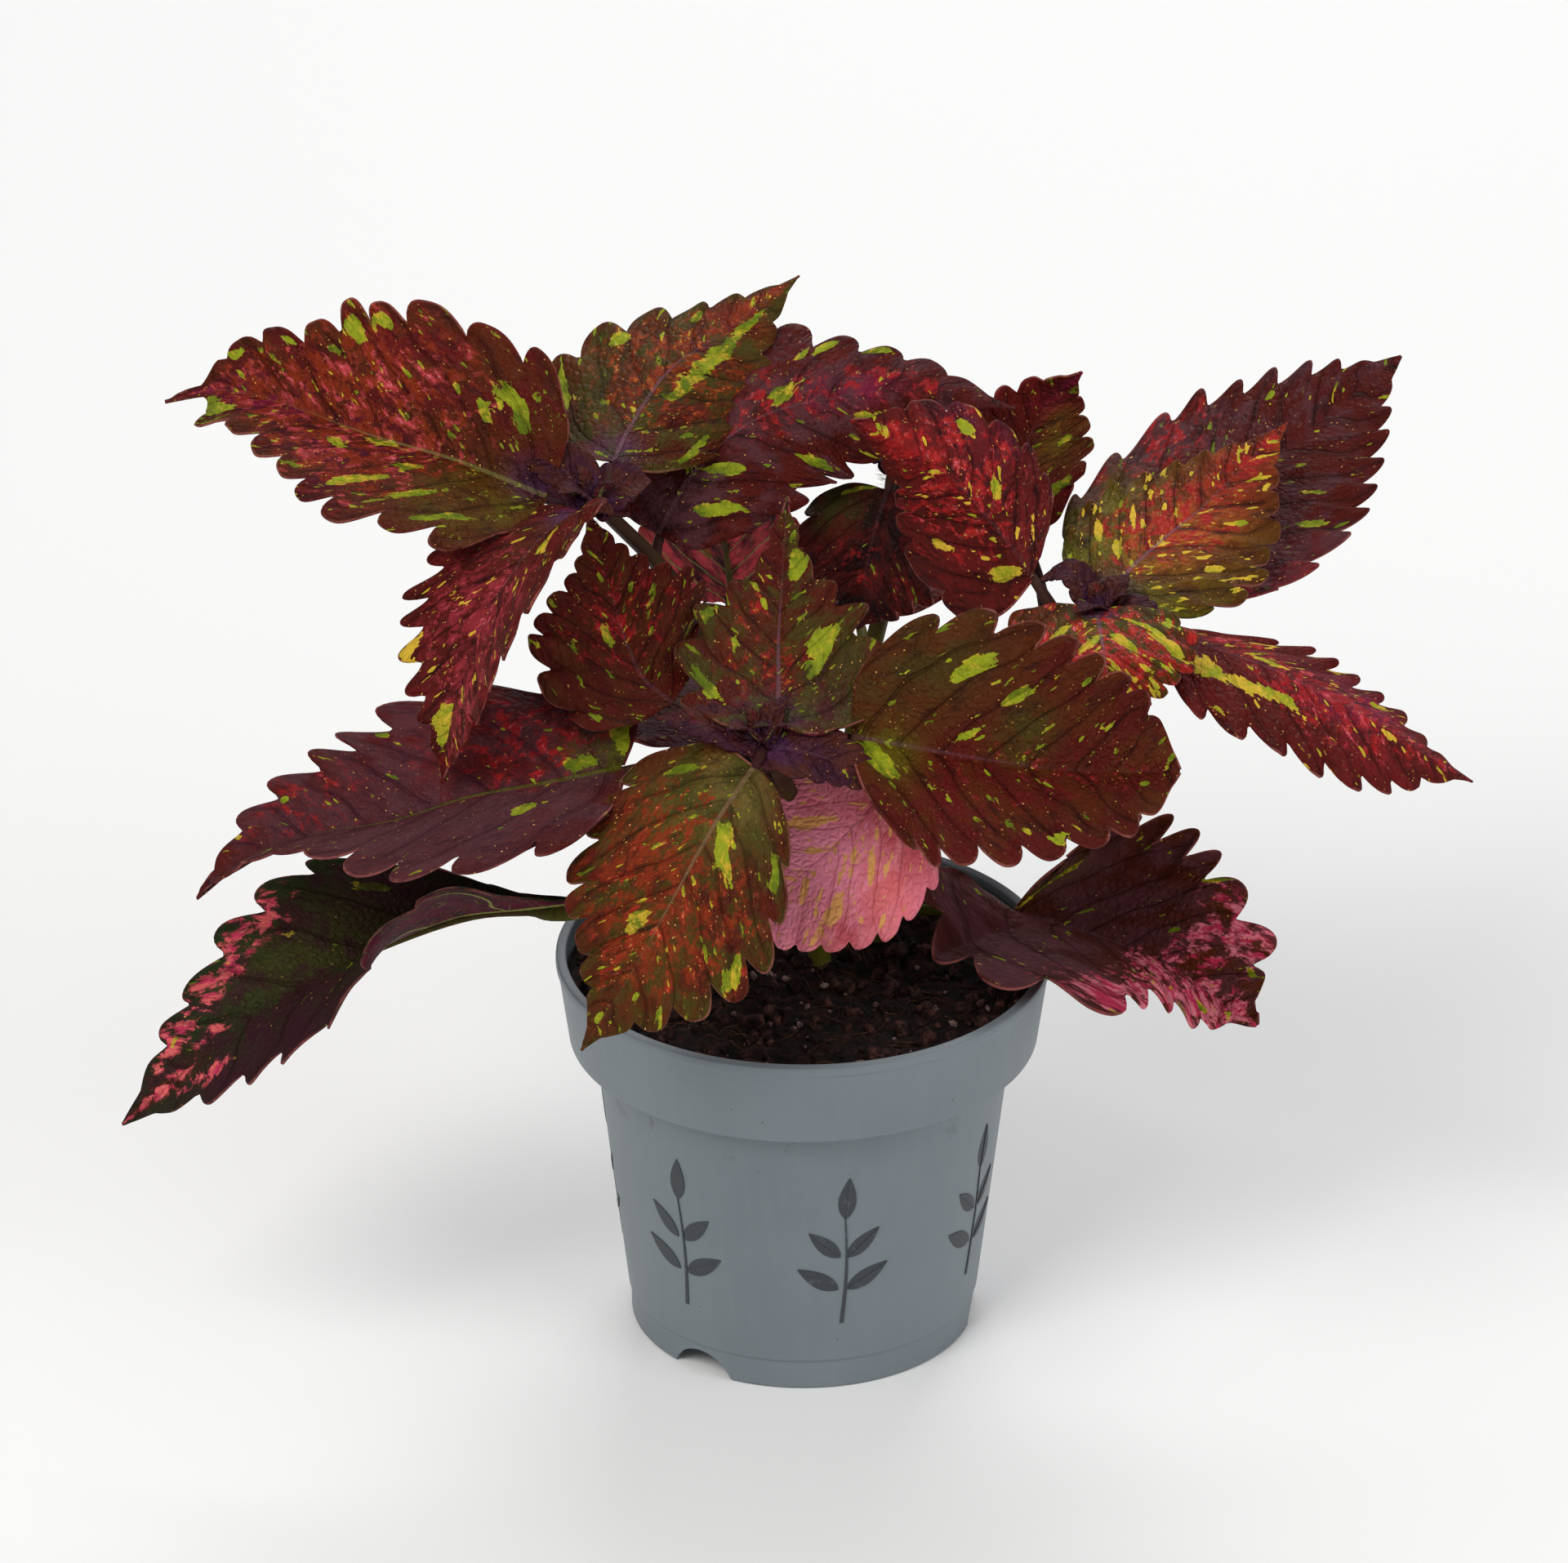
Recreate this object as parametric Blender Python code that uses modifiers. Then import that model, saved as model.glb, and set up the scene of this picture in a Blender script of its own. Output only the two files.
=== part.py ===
"""Potted coleus in a 12 cm plastic grow pot.

Metres, +Z up, the front of the pot towards -Y. The origin is the middle of the pot's foot, on the
surface that the pot stands on. Lengths below are in millimetres and angles in degrees, and MM and
radians() turn them into Blender's units where the meshes are made.
"""

from math import cos, pi, radians, sin

import bmesh
import bpy
from mathutils import Matrix, Vector

MM = 0.001
GAP = 0.3  # clearance between touching pieces

# Pot
RIM_RADIUS = 60.0
POT_HEIGHT = 98.0
LIP_WIDTH = 2.6
LIP_DEPTH = 2.2
COLLAR_FOOT_RADIUS = 56.8
COLLAR_FOOT = 76.3
BODY_TOP_RADIUS = 50.8
BODY_FOOT_RADIUS = 42.9
FOOT_RADIUS = 42.2
FOOT_STEP = 8.0
WALL = 1.4
SKIRT_HEIGHT = 6.0
PAD_RADIUS = 19.0  # the flat middle of the pot's floor, which touches the ground
DRAIN_CIRCLE = 31.0
DRAIN_RADIUS = 4.0
DRAIN_COUNT = 6
NOTCH_HALF_WIDTH = 8.5
NOTCH_HEIGHT = 6.0
NOTCH_HEADINGS = (-126, -6, 114)
STEPS = 36  # round the pot and the soil

# Soil
SOIL_TOP = 92.0
SOIL_WAVE = 1.1
SOIL_RINGS = 5
HOLE_GAP = 0.9  # between a stem and its hole in the soil

# Leafy stems
STEM_SIDE_RADIUS = 2.9
STEM_TIP_RADIUS = 1.7
PETIOLE_RADIUS = 1.5
PETIOLE_END_RADIUS = 0.7
BLADE_THICKNESS = 0.8
TOOTH_DEPTH = 0.13
FORWARD_SWEEP = 0.38  # how far the side veins lean towards the tip
BASE_LOBES = (0.1, 0.1)  # how far the blade's base reaches back, right and left
YOUNG_LENGTH = 20.0

# Where each stem runs, from the bottom of its hole in the soil to its growing tip.
STEMS = {
    "leafy_stem_centre": [(4, 4, 70), (4, 3, 92), (2, 0, 122), (-4, -20, 152), (-10, -38, 174)],
    "leafy_stem_left": [(-12, 18, 70), (-13, 18, 92), (-18, 17, 140), (-28, 14, 184), (-50, 6, 216)],
    "leafy_stem_right": [(17, 18, 70), (18, 18, 92), (30, 18, 130), (50, 6, 168), (71, -10, 194)],
    "leafy_stem_back": [(3, 34, 70), (5, 35, 92), (14, 42, 145), (21, 45, 178), (22, 44, 207)],
}

# The leaves on each stem. "at" is the place on the stem where the petiole starts, from 0 at the
# bottom to 1 at the tip. "midrib" runs from the blade's base to its tip, "width" is the blade's
# full width, "roll" turns the blade round its midrib and "fold" lifts both halves into a trough, each
# at even steps from base to tip, "droop" lets the margins hang and "tail" draws the tip out thin.
LEAVES = {
    "leafy_stem_left": {
        "left": dict(at=0.97, midrib=[(-61, 7, 216), (-82, 14, 222), (-103, 20, 226), (-124, 25, 232),
                                      (-139, 28, 234), (-152, 26, 232)],
                     width=72, roll=(34, 32), fold=(28, 30), droop=2, tail=1),
        "back": dict(at=0.97, midrib=[(-45, 12, 223), (-41, 24, 227), (-32, 40, 234), (-17, 54, 239),
                                      (-1, 66, 247)],
                     width=46, roll=(-17, -12), fold=(-22, -15), droop=0, tail=0.7, lobes=(-0.4, -0.9)),
        "front": dict(at=0.985, midrib=[(-53, -4, 217.5), (-62, -15, 215.5), (-70, -26, 209), (-77, -34, 197.5),
                                        (-82, -40, 183), (-85, -42, 164.5)],
                      width=54, roll=(-24, -14), fold=(16, 12), droop=1, tail=0.5),
        "arching": dict(at=0.72, midrib=[(-35, 20, 200), (-26, 28, 213), (-11, 36, 223), (10, 42, 226),
                                         (31, 46, 226), (51, 46, 221)],
                        width=46, roll=(-30, -30), fold=(-5, -10), droop=3, tail=0.7),
    },
    "leafy_stem_centre": {
        "back": dict(at=0.97, midrib=[(-6, -33, 179), (-6, -22, 180), (-6, -8, 186), (-5, 8, 196), (-4, 22, 209)],
                     width=48, roll=(0, 0), fold=(5, 10), droop=2, tail=0.9),
        "front": dict(at=0.97, midrib=[(-12, -46, 171), (-21, -60, 163), (-31, -72, 149), (-41, -80, 133),
                                       (-52, -82, 115)],
                      width=61, roll=(8, 10), fold=(-5, -8), droop=2, tail=0.7, lobes=(0.3, -0.2)),
        "right": dict(at=0.86, midrib=[(11, -36, 174), (26, -42, 174), (42, -50, 175), (59, -57, 176),
                                       (75, -62, 178), (87, -64, 179)],
                      width=70, roll=(-44, -44), fold=(26, 22), droop=2, tail=0.1, lobes=(-0.5, 0.1)),
        "left": dict(at=0.86, midrib=[(-43, -32, 164), (-60, -38, 163), (-79, -40, 160), (-96, -40, 154),
                                      (-116, -38, 149), (-130, -36, 143), (-144, -34, 130)],
                     width=62, roll=(20, 8), fold=(9, 28, 30), droop=1, tail=0.6, lobes=(0.1, -0.3)),
        "upper_left": dict(at=0.75, midrib=[(-31, -22, 176), (-38, -15, 179), (-43, -8, 188), (-47, -2, 200),
                                            (-50.5, 2, 213)],
                           width=50, roll=(10, 10), fold=(5, 10), droop=2, tail=0.6, lobes=(-0.3, 0.1)),
        "low_front": dict(at=0.6, midrib=[(22, -16, 152), (15, -24, 147), (5, -30, 139), (-7, -36, 131),
                                          (-18, -40, 122)],
                          width=50, roll=(30, 20), fold=(0, 0), droop=2, tail=0.3, lobes=(0.1, -0.3)),
        "low_left": dict(at=0.33, midrib=[(-67, -14, 116), (-83, -18, 118), (-97, -22, 113), (-113, -28, 108),
                                          (-127, -32, 101), (-143, -38, 90), (-163, -42, 73)],
                         width=60, roll=(5, 20, 30, 30), fold=(60, 25, 10, 5), droop=2, tail=0.4),
        "low_right": dict(at=0.24, midrib=[(51, 8, 104), (65, 4, 102), (78, 0, 99), (90, -5, 96), (102, -12, 89),
                                           (109, -18, 87)],
                          width=66, roll=(8, -22, -23, -24, -23, -22, -21, -24, -25),
                          fold=(53, 27, 31, 33, 33, 31, 28, 26, 25), droop=1, tail=0.1, lobes=(1.2, -0.4)),
    },
    "leafy_stem_right": {
        "left": dict(at=0.9, midrib=[(54, -4, 200), (47, 6, 206), (36, 15, 216), (24, 22, 222), (11, 26, 227)],
                     width=54, roll=(37, 42), fold=(-29, -26), droop=1, tail=0.7, lobes=(-0.9, 0.1)),
        "right": dict(at=0.98, midrib=[(70, -6, 195), (76, 2, 198), (85, 12, 202), (95, 22, 206), (106, 32, 213),
                                       (116, 40, 220)],
                      width=50, roll=(-10, -10), fold=(-8, -5), droop=1, tail=0.7, lobes=(-0.1, -0.3)),
        "back": dict(at=0.88, midrib=[(81, 22, 191), (92, 34, 194), (108, 48, 202), (126, 60, 212),
                                      (145, 70, 224)],
                     width=62, roll=(-12, -12), fold=(0, 0), droop=1, tail=0.5, lobes=(0.1, 0.6)),
        "low_right": dict(at=0.93, midrib=[(86, -14, 191), (98, -20, 189), (112, -26, 186), (123, -29, 181),
                                           (135, -31, 175), (148, -32, 166), (158, -30, 159)],
                          width=44, roll=(-4, -6), fold=(-16, -12), droop=1, tail=0.6, lobes=(-0.2, -0.4)),
        "front": dict(at=0.98, midrib=[(69, -14, 196), (70, -28, 194), (71, -36, 189), (72, -40, 178)],
                      width=44, roll=(-5, -5), fold=(0, 0), droop=3, tail=0.4, lobes=(0.8, 0.2)),
        "upper": dict(at=0.8, midrib=[(54, 44, 189), (51, 50, 196), (54, 55, 207), (60, 57, 219), (67, 53, 227)],
                      width=36, roll=(0, 0), fold=(5, 5), droop=1, tail=0.6),
    },
    "leafy_stem_back": {
        "front": dict(at=0.98, midrib=[(20, 36, 204), (17, 30, 196), (15, 28, 186), (13, 29, 170)],
                      width=40, roll=(0, 0), fold=(5, 5), droop=2, tail=0.5),
        "left": dict(at=0.75, midrib=[(-17, 50, 167), (-18, 44, 180), (-20, 40, 196), (-23, 40, 211)],
                     width=42, roll=(0, 0), fold=(5, 5), droop=1, tail=0.6),
        "back_right": dict(at=0.4, midrib=[(22, 54, 134), (34, 64, 136), (48, 76, 131), (62, 90, 116)],
                           width=56, roll=(0, 0), fold=(-5, -8), droop=2, tail=0.6),
        "back_left": dict(at=0.4, midrib=[(-8, 54, 132), (-24, 64, 136), (-42, 74, 131), (-62, 84, 116)],
                          width=56, roll=(0, 0), fold=(-5, -8), droop=2, tail=0.6),
        "back": dict(at=0.6, midrib=[(14, 60, 158), (12, 76, 160), (8, 94, 152), (4, 110, 134)],
                     width=54, roll=(0, 0), fold=(5, 0), droop=2, tail=0.6),
    },
}

# Compass heading of the first young leaf at each growing tip, from +X towards +Y.
YOUNG_HEADINGS = {
    "leafy_stem_left": 140,
    "leafy_stem_centre": 165,
    "leafy_stem_right": 150,
    "leafy_stem_back": 100,
}

# Colour (red, green, blue) and roughness
FINISHES = {
    "pot": ((0.16, 0.20, 0.22), 0.5),
    "soil": ((0.02, 0.012, 0.01), 0.95),
    "leafy_stem_left": ((0.16, 0.02, 0.02), 0.55),
    "leafy_stem_centre": ((0.11, 0.02, 0.015), 0.55),
    "leafy_stem_right": ((0.2, 0.03, 0.02), 0.55),
    "leafy_stem_back": ((0.06, 0.012, 0.012), 0.55),
}


def make_collection(name, hidden=False):
    collection = bpy.data.collections.new(name)
    bpy.context.scene.collection.children.link(collection)
    collection.hide_render = hidden
    return collection


def make_object(name, mesh, collection):
    made = bpy.data.objects.new(name, mesh)
    collection.objects.link(made)
    return made


def set_finish(made, colour, roughness):
    material = bpy.data.materials.new(made.name)
    material.use_nodes = True
    shader = material.node_tree.nodes["Principled BSDF"]
    shader.inputs["Base Color"].default_value = (*colour, 1)
    shader.inputs["Roughness"].default_value = roughness
    made.data.materials.clear()
    made.data.materials.append(material)


def apply_modifiers(made):
    """Replace the object's mesh with its evaluated one."""
    bpy.context.view_layer.update()
    evaluated = made.evaluated_get(bpy.context.evaluated_depsgraph_get())
    made.data = bpy.data.meshes.new_from_object(evaluated)
    made.modifiers.clear()
    return made


def as_mesh(curve):
    """A mesh object in the curve's place, with its caps welded on."""
    bpy.context.view_layer.update()
    evaluated = curve.evaluated_get(bpy.context.evaluated_depsgraph_get())
    mesh = bpy.data.meshes.new_from_object(evaluated)
    work = bmesh.new()
    work.from_mesh(mesh)
    bmesh.ops.remove_doubles(work, verts=work.verts, dist=0.01 * MM)
    work.to_mesh(mesh)
    work.free()
    name = curve.name
    made = make_object("tube", mesh, curve.users_collection[0])
    made.matrix_world = curve.matrix_world.copy()
    bpy.data.objects.remove(curve)
    made.name = name
    return made


def join_all(made, pieces, solver="EXACT"):
    """Fuse the objects of a collection into one closed body, and remove them."""
    union = made.modifiers.new("join", "BOOLEAN")
    union.operation = "UNION"
    union.operand_type = "COLLECTION"
    union.collection = pieces
    union.solver = solver
    apply_modifiers(made)
    for piece in list(pieces.objects):
        bpy.data.objects.remove(piece)
    bpy.data.collections.remove(pieces)


def turned(name, profile, steps, collection):
    """A shape turned round Z from a profile of (radius, height) that runs down its outer side."""
    mesh = bpy.data.meshes.new(name)
    edges = [(i, i + 1) for i in range(len(profile) - 1)]
    mesh.from_pydata([(r * MM, 0, z * MM) for r, z in profile], edges, [])
    made = make_object(name, mesh, collection)
    screw = made.modifiers.new("turn", "SCREW")
    screw.steps = screw.render_steps = steps
    screw.use_merge_vertices = True
    screw.merge_threshold = 0.00005
    return apply_modifiers(made)


def pot_inside():
    """The pot's inner profile from the lip down to the middle of its floor."""
    ledge = COLLAR_FOOT + WALL
    floor = SKIRT_HEIGHT + WALL
    return [
        (RIM_RADIUS - LIP_WIDTH, POT_HEIGHT),
        (RIM_RADIUS - LIP_WIDTH, POT_HEIGHT - LIP_DEPTH),
        (RIM_RADIUS - WALL - 0.2, POT_HEIGHT - LIP_DEPTH - 1),
        (COLLAR_FOOT_RADIUS - WALL, ledge),
        (BODY_TOP_RADIUS - WALL, ledge - 0.8),
        (BODY_FOOT_RADIUS - WALL, floor),
        (PAD_RADIUS + 2.2, floor),
        (PAD_RADIUS - 1.8, WALL),
        (0, WALL),
    ]


def pot_outside():
    """The pot's outer profile from the lip down and under the floor to the middle."""
    skirt_inside = FOOT_RADIUS - WALL
    return [
        (RIM_RADIUS - 0.5, POT_HEIGHT),
        (RIM_RADIUS, POT_HEIGHT - 0.6),
        (RIM_RADIUS, POT_HEIGHT - LIP_DEPTH),
        (RIM_RADIUS - 0.4, POT_HEIGHT - LIP_DEPTH - 0.6),
        (COLLAR_FOOT_RADIUS + 0.2, COLLAR_FOOT + 0.5),
        (COLLAR_FOOT_RADIUS - 0.4, COLLAR_FOOT),
        (BODY_TOP_RADIUS, COLLAR_FOOT),
        (BODY_FOOT_RADIUS, FOOT_STEP),
        (FOOT_RADIUS + 0.1, FOOT_STEP - 0.8),
        (FOOT_RADIUS, 0),
        (skirt_inside, 0),
        (skirt_inside, SKIRT_HEIGHT),
        (PAD_RADIUS + 3.0, SKIRT_HEIGHT),
        (PAD_RADIUS - 1.0, 0),
        (0, 0),
    ]


def make_pot(collection, cutters):
    """The pot, with its drainage arches and drain holes."""
    pot = turned("pot", pot_inside()[::-1] + pot_outside(), STEPS, collection)
    reach = 3 * WALL
    for heading in NOTCH_HEADINGS:
        # A lying cylinder whose crown gives the arch, sunk so that it is as wide as the notch.
        sunk = (NOTCH_HALF_WIDTH**2 - NOTCH_HEIGHT**2) / (2 * NOTCH_HEIGHT)
        place = Matrix.Rotation(radians(heading), 4, "Z") @ Matrix.Translation(
            Vector((FOOT_RADIUS - WALL / 2, 0, -sunk)) * MM
        )
        add_cutter(cutters, NOTCH_HEIGHT - 0.2 + sunk, 2 * reach, 20, place @ Matrix.Rotation(pi / 2, 4, "Y"))
    for k in range(DRAIN_COUNT):
        place = Matrix.Rotation(radians(30) + 2 * pi * k / DRAIN_COUNT, 4, "Z") @ Matrix.Translation(
            Vector((DRAIN_CIRCLE, 0, SKIRT_HEIGHT)) * MM
        )
        add_cutter(cutters, DRAIN_RADIUS, 4 * WALL, 12, place)
    cut_all(pot, cutters)
    return pot


def add_cutter(cutters, radius, length, sides, place):
    work = bmesh.new()
    bmesh.ops.create_cone(
        work, cap_ends=True, segments=sides, radius1=radius * MM, radius2=radius * MM, depth=length * MM,
        matrix=place,
    )
    mesh = bpy.data.meshes.new("cutter")
    work.to_mesh(mesh)
    work.free()
    cutter = make_object("cutter", mesh, cutters)
    cutter.hide_render = True
    cutter.display_type = "WIRE"


def cut_all(made, cutters):
    cut = made.modifiers.new("cut", "BOOLEAN")
    cut.operation = "DIFFERENCE"
    cut.operand_type = "COLLECTION"
    cut.collection = cutters
    cut.solver = "EXACT"
    apply_modifiers(made)
    for cutter in list(cutters.objects):
        bpy.data.objects.remove(cutter)


def soil_wave(x, y):
    """How far the soil stands above its mean level, in millimetres, at a place in millimetres."""
    return SOIL_WAVE * (
        0.5 * sin(x / 9 + 1.3) * cos(y / 11) + 0.3 * sin((x + y) / 5.5) + 0.3 * cos((x - 2 * y) / 8)
    )


def make_soil(collection, cutters):
    """The potting mix, which fills the pot's inside, with a plain hole for each stem."""
    top_radius = 56.9
    inside = [(r - GAP if r else 0, z + GAP) for r, z in pot_inside()]
    walls = [p for p in inside if p[1] < SOIL_TOP - 4]
    rings = [(top_radius * i / SOIL_RINGS, SOIL_TOP) for i in range(SOIL_RINGS)]
    profile = [*rings, (top_radius - 0.4, SOIL_TOP), *walls]
    soil = turned("soil", profile, STEPS, collection)
    for vertex in soil.data.vertices:
        if vertex.co.z > (SOIL_TOP - 0.5) * MM:
            vertex.co.z += soil_wave(vertex.co.x / MM, vertex.co.y / MM) * MM
    for path in STEMS.values():
        x, y, bottom = path[0]
        start, top = Vector((x, y, bottom - HOLE_GAP)), Vector(path[1])
        direction = (top - start).normalized()
        length = 2 * (top.z - bottom)
        middle = start + direction * (length / 2)
        turn = direction.to_track_quat("Z", "Y").to_matrix().to_4x4()
        add_cutter(cutters, STEM_SIDE_RADIUS + HOLE_GAP, length, 12, Matrix.Translation(middle * MM) @ turn)
    cut_all(soil, cutters)
    return soil


def smooth_path(points, steps=10):
    """Close points on a smooth curve that passes through the given ones."""
    known = [Vector(p) for p in points]
    known = [2 * known[0] - known[1], *known, 2 * known[-1] - known[-2]]
    fine = []
    for a, b, c, d in zip(known, known[1:], known[2:], known[3:]):
        for k in range(steps):
            s = k / steps
            fine.append(
                0.5 * (2 * b + (c - a) * s + (2 * a - 5 * b + 4 * c - d) * s**2 + (3 * b - a - 3 * c + d) * s**3)
            )
    fine.append(known[-2])
    return fine


def trace(points):
    """A path's close points, each with its distance from the start, direction and level side."""
    fine = smooth_path(points)
    side = (fine[1] - fine[0]).cross(Vector((0, 0, 1))).normalized()
    rows, distance = [], 0.0
    for i, point in enumerate(fine):
        if i:
            distance += (point - fine[i - 1]).length
        direction = (fine[min(i + 1, len(fine) - 1)] - fine[max(i - 1, 0)]).normalized()
        side = (side - side.dot(direction) * direction).normalized()
        rows.append((distance, point, direction, side))
    return rows


def place_on(rows, share):
    """The point, direction and side at this share of a traced path's length."""
    wanted = share * rows[-1][0]
    for before, after in zip(rows, rows[1:]):
        if after[0] >= wanted:
            break
    s = (wanted - before[0]) / (after[0] - before[0])
    point, direction, side = (before[k].lerp(after[k], s) for k in (1, 2, 3))
    return point, direction.normalized(), side.normalized()


def half_width(u, tail):
    """The blade's outline as a share of its greatest half width, from its base (0) to its tip (1)."""
    drawn_out = max((u - 0.35) / 0.65, 0) ** 1.6
    return sin(pi * u**0.5) ** 0.7 * (1 - tail * drawn_out) if 0 < u < 1 else 0


def along(values, u):
    """The value at a share of the way through evenly spaced ones."""
    place = u * (len(values) - 1)
    i = min(int(place), len(values) - 2)
    return values[i] + (values[i + 1] - values[i]) * (place - i)


def blade_stations(teeth):
    """Places along the midrib, each with 1 where a tooth's notch is and 0 at its point."""
    first, last = 0.05, 0.92
    step = (last - first) / teeth
    stations = [(0.0, 0)]
    for k in range(teeth):
        stations += [(first + step * k, 1), (first + step * (k + 0.62), 0)]
    return stations + [(last, 1), (1.0, 0)]


def blade_axes(rows, leaf, u):
    """The midrib's point, the leaf's direction, its right side and the way that its face looks."""
    point, direction, side = place_on(rows, u)
    roll, up = radians(along(leaf["roll"], u)), side.cross(direction)
    return point, direction, side * cos(roll) + up * sin(roll), up * cos(roll) - side * sin(roll)


def blade_point(rows, leaf, u, across, bite):
    """A point of the blade: across is -1 at the right margin, 0 on the midrib, 1 at the left one."""
    point, direction, side, up = blade_axes(rows, leaf, u)
    fold = radians(along(leaf["fold"], u))
    widest = leaf["width"] / 2
    reach = abs(across) * max(widest * half_width(u, leaf["tail"]) * (1 - TOOTH_DEPTH * bite), 0.9)
    outward = side if across < 0 else -side
    back = leaf.get("lobes", BASE_LOBES)[0 if across < 0 else 1]
    grown = min(u / 0.35, 1)
    ahead = reach * (FORWARD_SWEEP * grown - back * (1 - grown)) * min(1, 4 * (1 - u))
    return (
        point
        + outward * (reach * cos(fold))
        + up * (reach * sin(fold) - leaf["droop"] * (reach / widest) ** 2)
        + direction * ahead
    )


def make_blade(name, leaf, collection, teeth=8, columns=4):
    """A leaf blade with scalloped margins, split into triangles and then given its thickness."""
    rows = trace(leaf["midrib"])
    stations = blade_stations(teeth)
    work = bmesh.new()
    bmesh.ops.create_grid(work, x_segments=len(stations) - 1, y_segments=columns, size=0.5)
    for vertex in work.verts:
        u, bite = stations[round((vertex.co.x + 0.5) * (len(stations) - 1))]
        across = round(vertex.co.y * columns) * 2 / columns
        if u == 1.0:
            vertex.co = rows[-1][1] * MM
        else:
            vertex.co = blade_point(rows, leaf, u, across, bite) * MM
    bmesh.ops.remove_doubles(work, verts=work.verts, dist=0.01 * MM)
    bmesh.ops.triangulate(work, faces=work.faces)
    mesh = bpy.data.meshes.new(name)
    work.to_mesh(mesh)
    work.free()
    made = make_object(name, mesh, collection)
    wall = made.modifiers.new("thickness", "SOLIDIFY")
    wall.thickness = BLADE_THICKNESS * MM
    wall.offset = -1
    return apply_modifiers(made)


def make_tube(name, points, radii, sides, collection, pieces=3):
    """A tapering tube along a smooth path, as a curve with filled caps made into a mesh."""
    fine = smooth_path(points, pieces)
    data = bpy.data.curves.new(name, "CURVE")
    data.dimensions = "3D"
    data.bevel_depth = MM
    data.bevel_resolution = (sides - 4) // 2
    data.use_fill_caps = True
    spline = data.splines.new("POLY")
    spline.points.add(len(fine) - 1)
    for i, (knot, point) in enumerate(zip(spline.points, fine)):
        share = i / (len(fine) - 1)
        knot.co = (*(point * MM), 1)
        knot.radius = radii[0] * (1 - share) + radii[1] * share
    curve = make_object(name, data, collection)
    return as_mesh(curve)


def make_petiole(name, stem_rows, leaf, collection):
    """The stalk from inside the stem to a little way under the blade."""
    start, _, _ = place_on(stem_rows, leaf["at"])
    rows = trace(leaf["midrib"])
    depth = BLADE_THICKNESS / 2 + PETIOLE_END_RADIUS
    base, direction, _, up = blade_axes(rows, leaf, 0.02)
    end, _, _, end_up = blade_axes(rows, leaf, 0.16)
    reach = (base - start).length
    bend = base - direction * (0.35 * reach)
    points = [start, start.lerp(bend, 0.75), base - up * depth, end - end_up * depth]
    return make_tube(name, points, (PETIOLE_RADIUS, PETIOLE_END_RADIUS), 6, collection, 2)


def young_leaf(stem_rows, heading, length, rise):
    """A small unfolding leaf at the growing tip."""
    tip, direction, _ = stem_rows[-1][1:]
    level = Vector((cos(radians(heading)), sin(radians(heading)), 0))
    climb = Vector((0, 0, sin(radians(rise))))
    middle = tip + (level * cos(radians(rise)) + climb) * (length * 0.5)
    end = tip + level * length * cos(radians(rise)) + climb * (length * 0.7)
    start = tip - direction * 1.5
    return dict(midrib=[start, middle, end], width=length * 0.55, roll=(0, 0), fold=(25, 15), droop=1, tail=0.3)


def stem_pieces(name, collection):
    """The stem, petioles and blades of one leafy stem, as separate overlapping solids."""
    rows = trace(STEMS[name])
    stem = make_tube(name, STEMS[name], (STEM_SIDE_RADIUS, STEM_TIP_RADIUS), 4, collection)
    for key, leaf in LEAVES[name].items():
        make_petiole(f"{name}.{key}.petiole", rows, leaf, collection)
        make_blade(f"{name}.{key}", leaf, collection)
    for k in range(4):
        heading = YOUNG_HEADINGS[name] + 180 * (k % 2) + 90 * (k // 2)
        length = YOUNG_LENGTH * (1 if k < 2 else 0.6)
        small = young_leaf(rows, heading, length, 20 if k < 2 else 55)
        make_blade(f"{name}.young{k}", small, collection, teeth=3, columns=2)
    return stem


def make_leafy_stem(name, collection):
    pieces = make_collection(f"{name} pieces")
    stem = stem_pieces(name, pieces)
    pieces.objects.unlink(stem)
    collection.objects.link(stem)
    join_all(stem, pieces)
    return stem


def main():
    for old in list(bpy.data.objects):
        bpy.data.objects.remove(old)
    parts = make_collection("potted coleus")
    cutters = make_collection("cutters", hidden=True)
    made = [make_pot(parts, cutters), make_soil(parts, cutters)]
    made += [make_leafy_stem(name, parts) for name in STEMS]
    for piece in made:
        set_finish(piece, *FINISHES[piece.name])
        piece.data.shade_smooth()
        piece.data.set_sharp_from_angle(angle=radians(35))


if __name__ == "__main__":
    main()
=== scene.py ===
# Potted coleus, dressed. Lengths in the dictionaries are millimetres and angles are degrees.
import random
from math import cos, exp, floor, pi, radians, sin

import bpy
from mathutils import Matrix, Vector, noise


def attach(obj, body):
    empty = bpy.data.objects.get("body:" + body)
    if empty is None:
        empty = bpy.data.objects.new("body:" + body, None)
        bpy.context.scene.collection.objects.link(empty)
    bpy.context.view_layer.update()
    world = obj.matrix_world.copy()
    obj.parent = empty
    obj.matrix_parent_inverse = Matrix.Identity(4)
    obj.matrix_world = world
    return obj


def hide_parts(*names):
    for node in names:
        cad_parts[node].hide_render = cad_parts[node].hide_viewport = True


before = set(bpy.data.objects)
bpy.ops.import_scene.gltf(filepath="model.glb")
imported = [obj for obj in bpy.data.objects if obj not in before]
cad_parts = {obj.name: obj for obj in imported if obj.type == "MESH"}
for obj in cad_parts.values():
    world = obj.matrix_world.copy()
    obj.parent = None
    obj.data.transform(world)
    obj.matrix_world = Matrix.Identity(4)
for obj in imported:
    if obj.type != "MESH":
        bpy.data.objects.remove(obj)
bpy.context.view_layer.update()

bpy.ops.object.select_all(action="DESELECT")
mm = 0.001
weldDistance = 0.004 * mm

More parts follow.
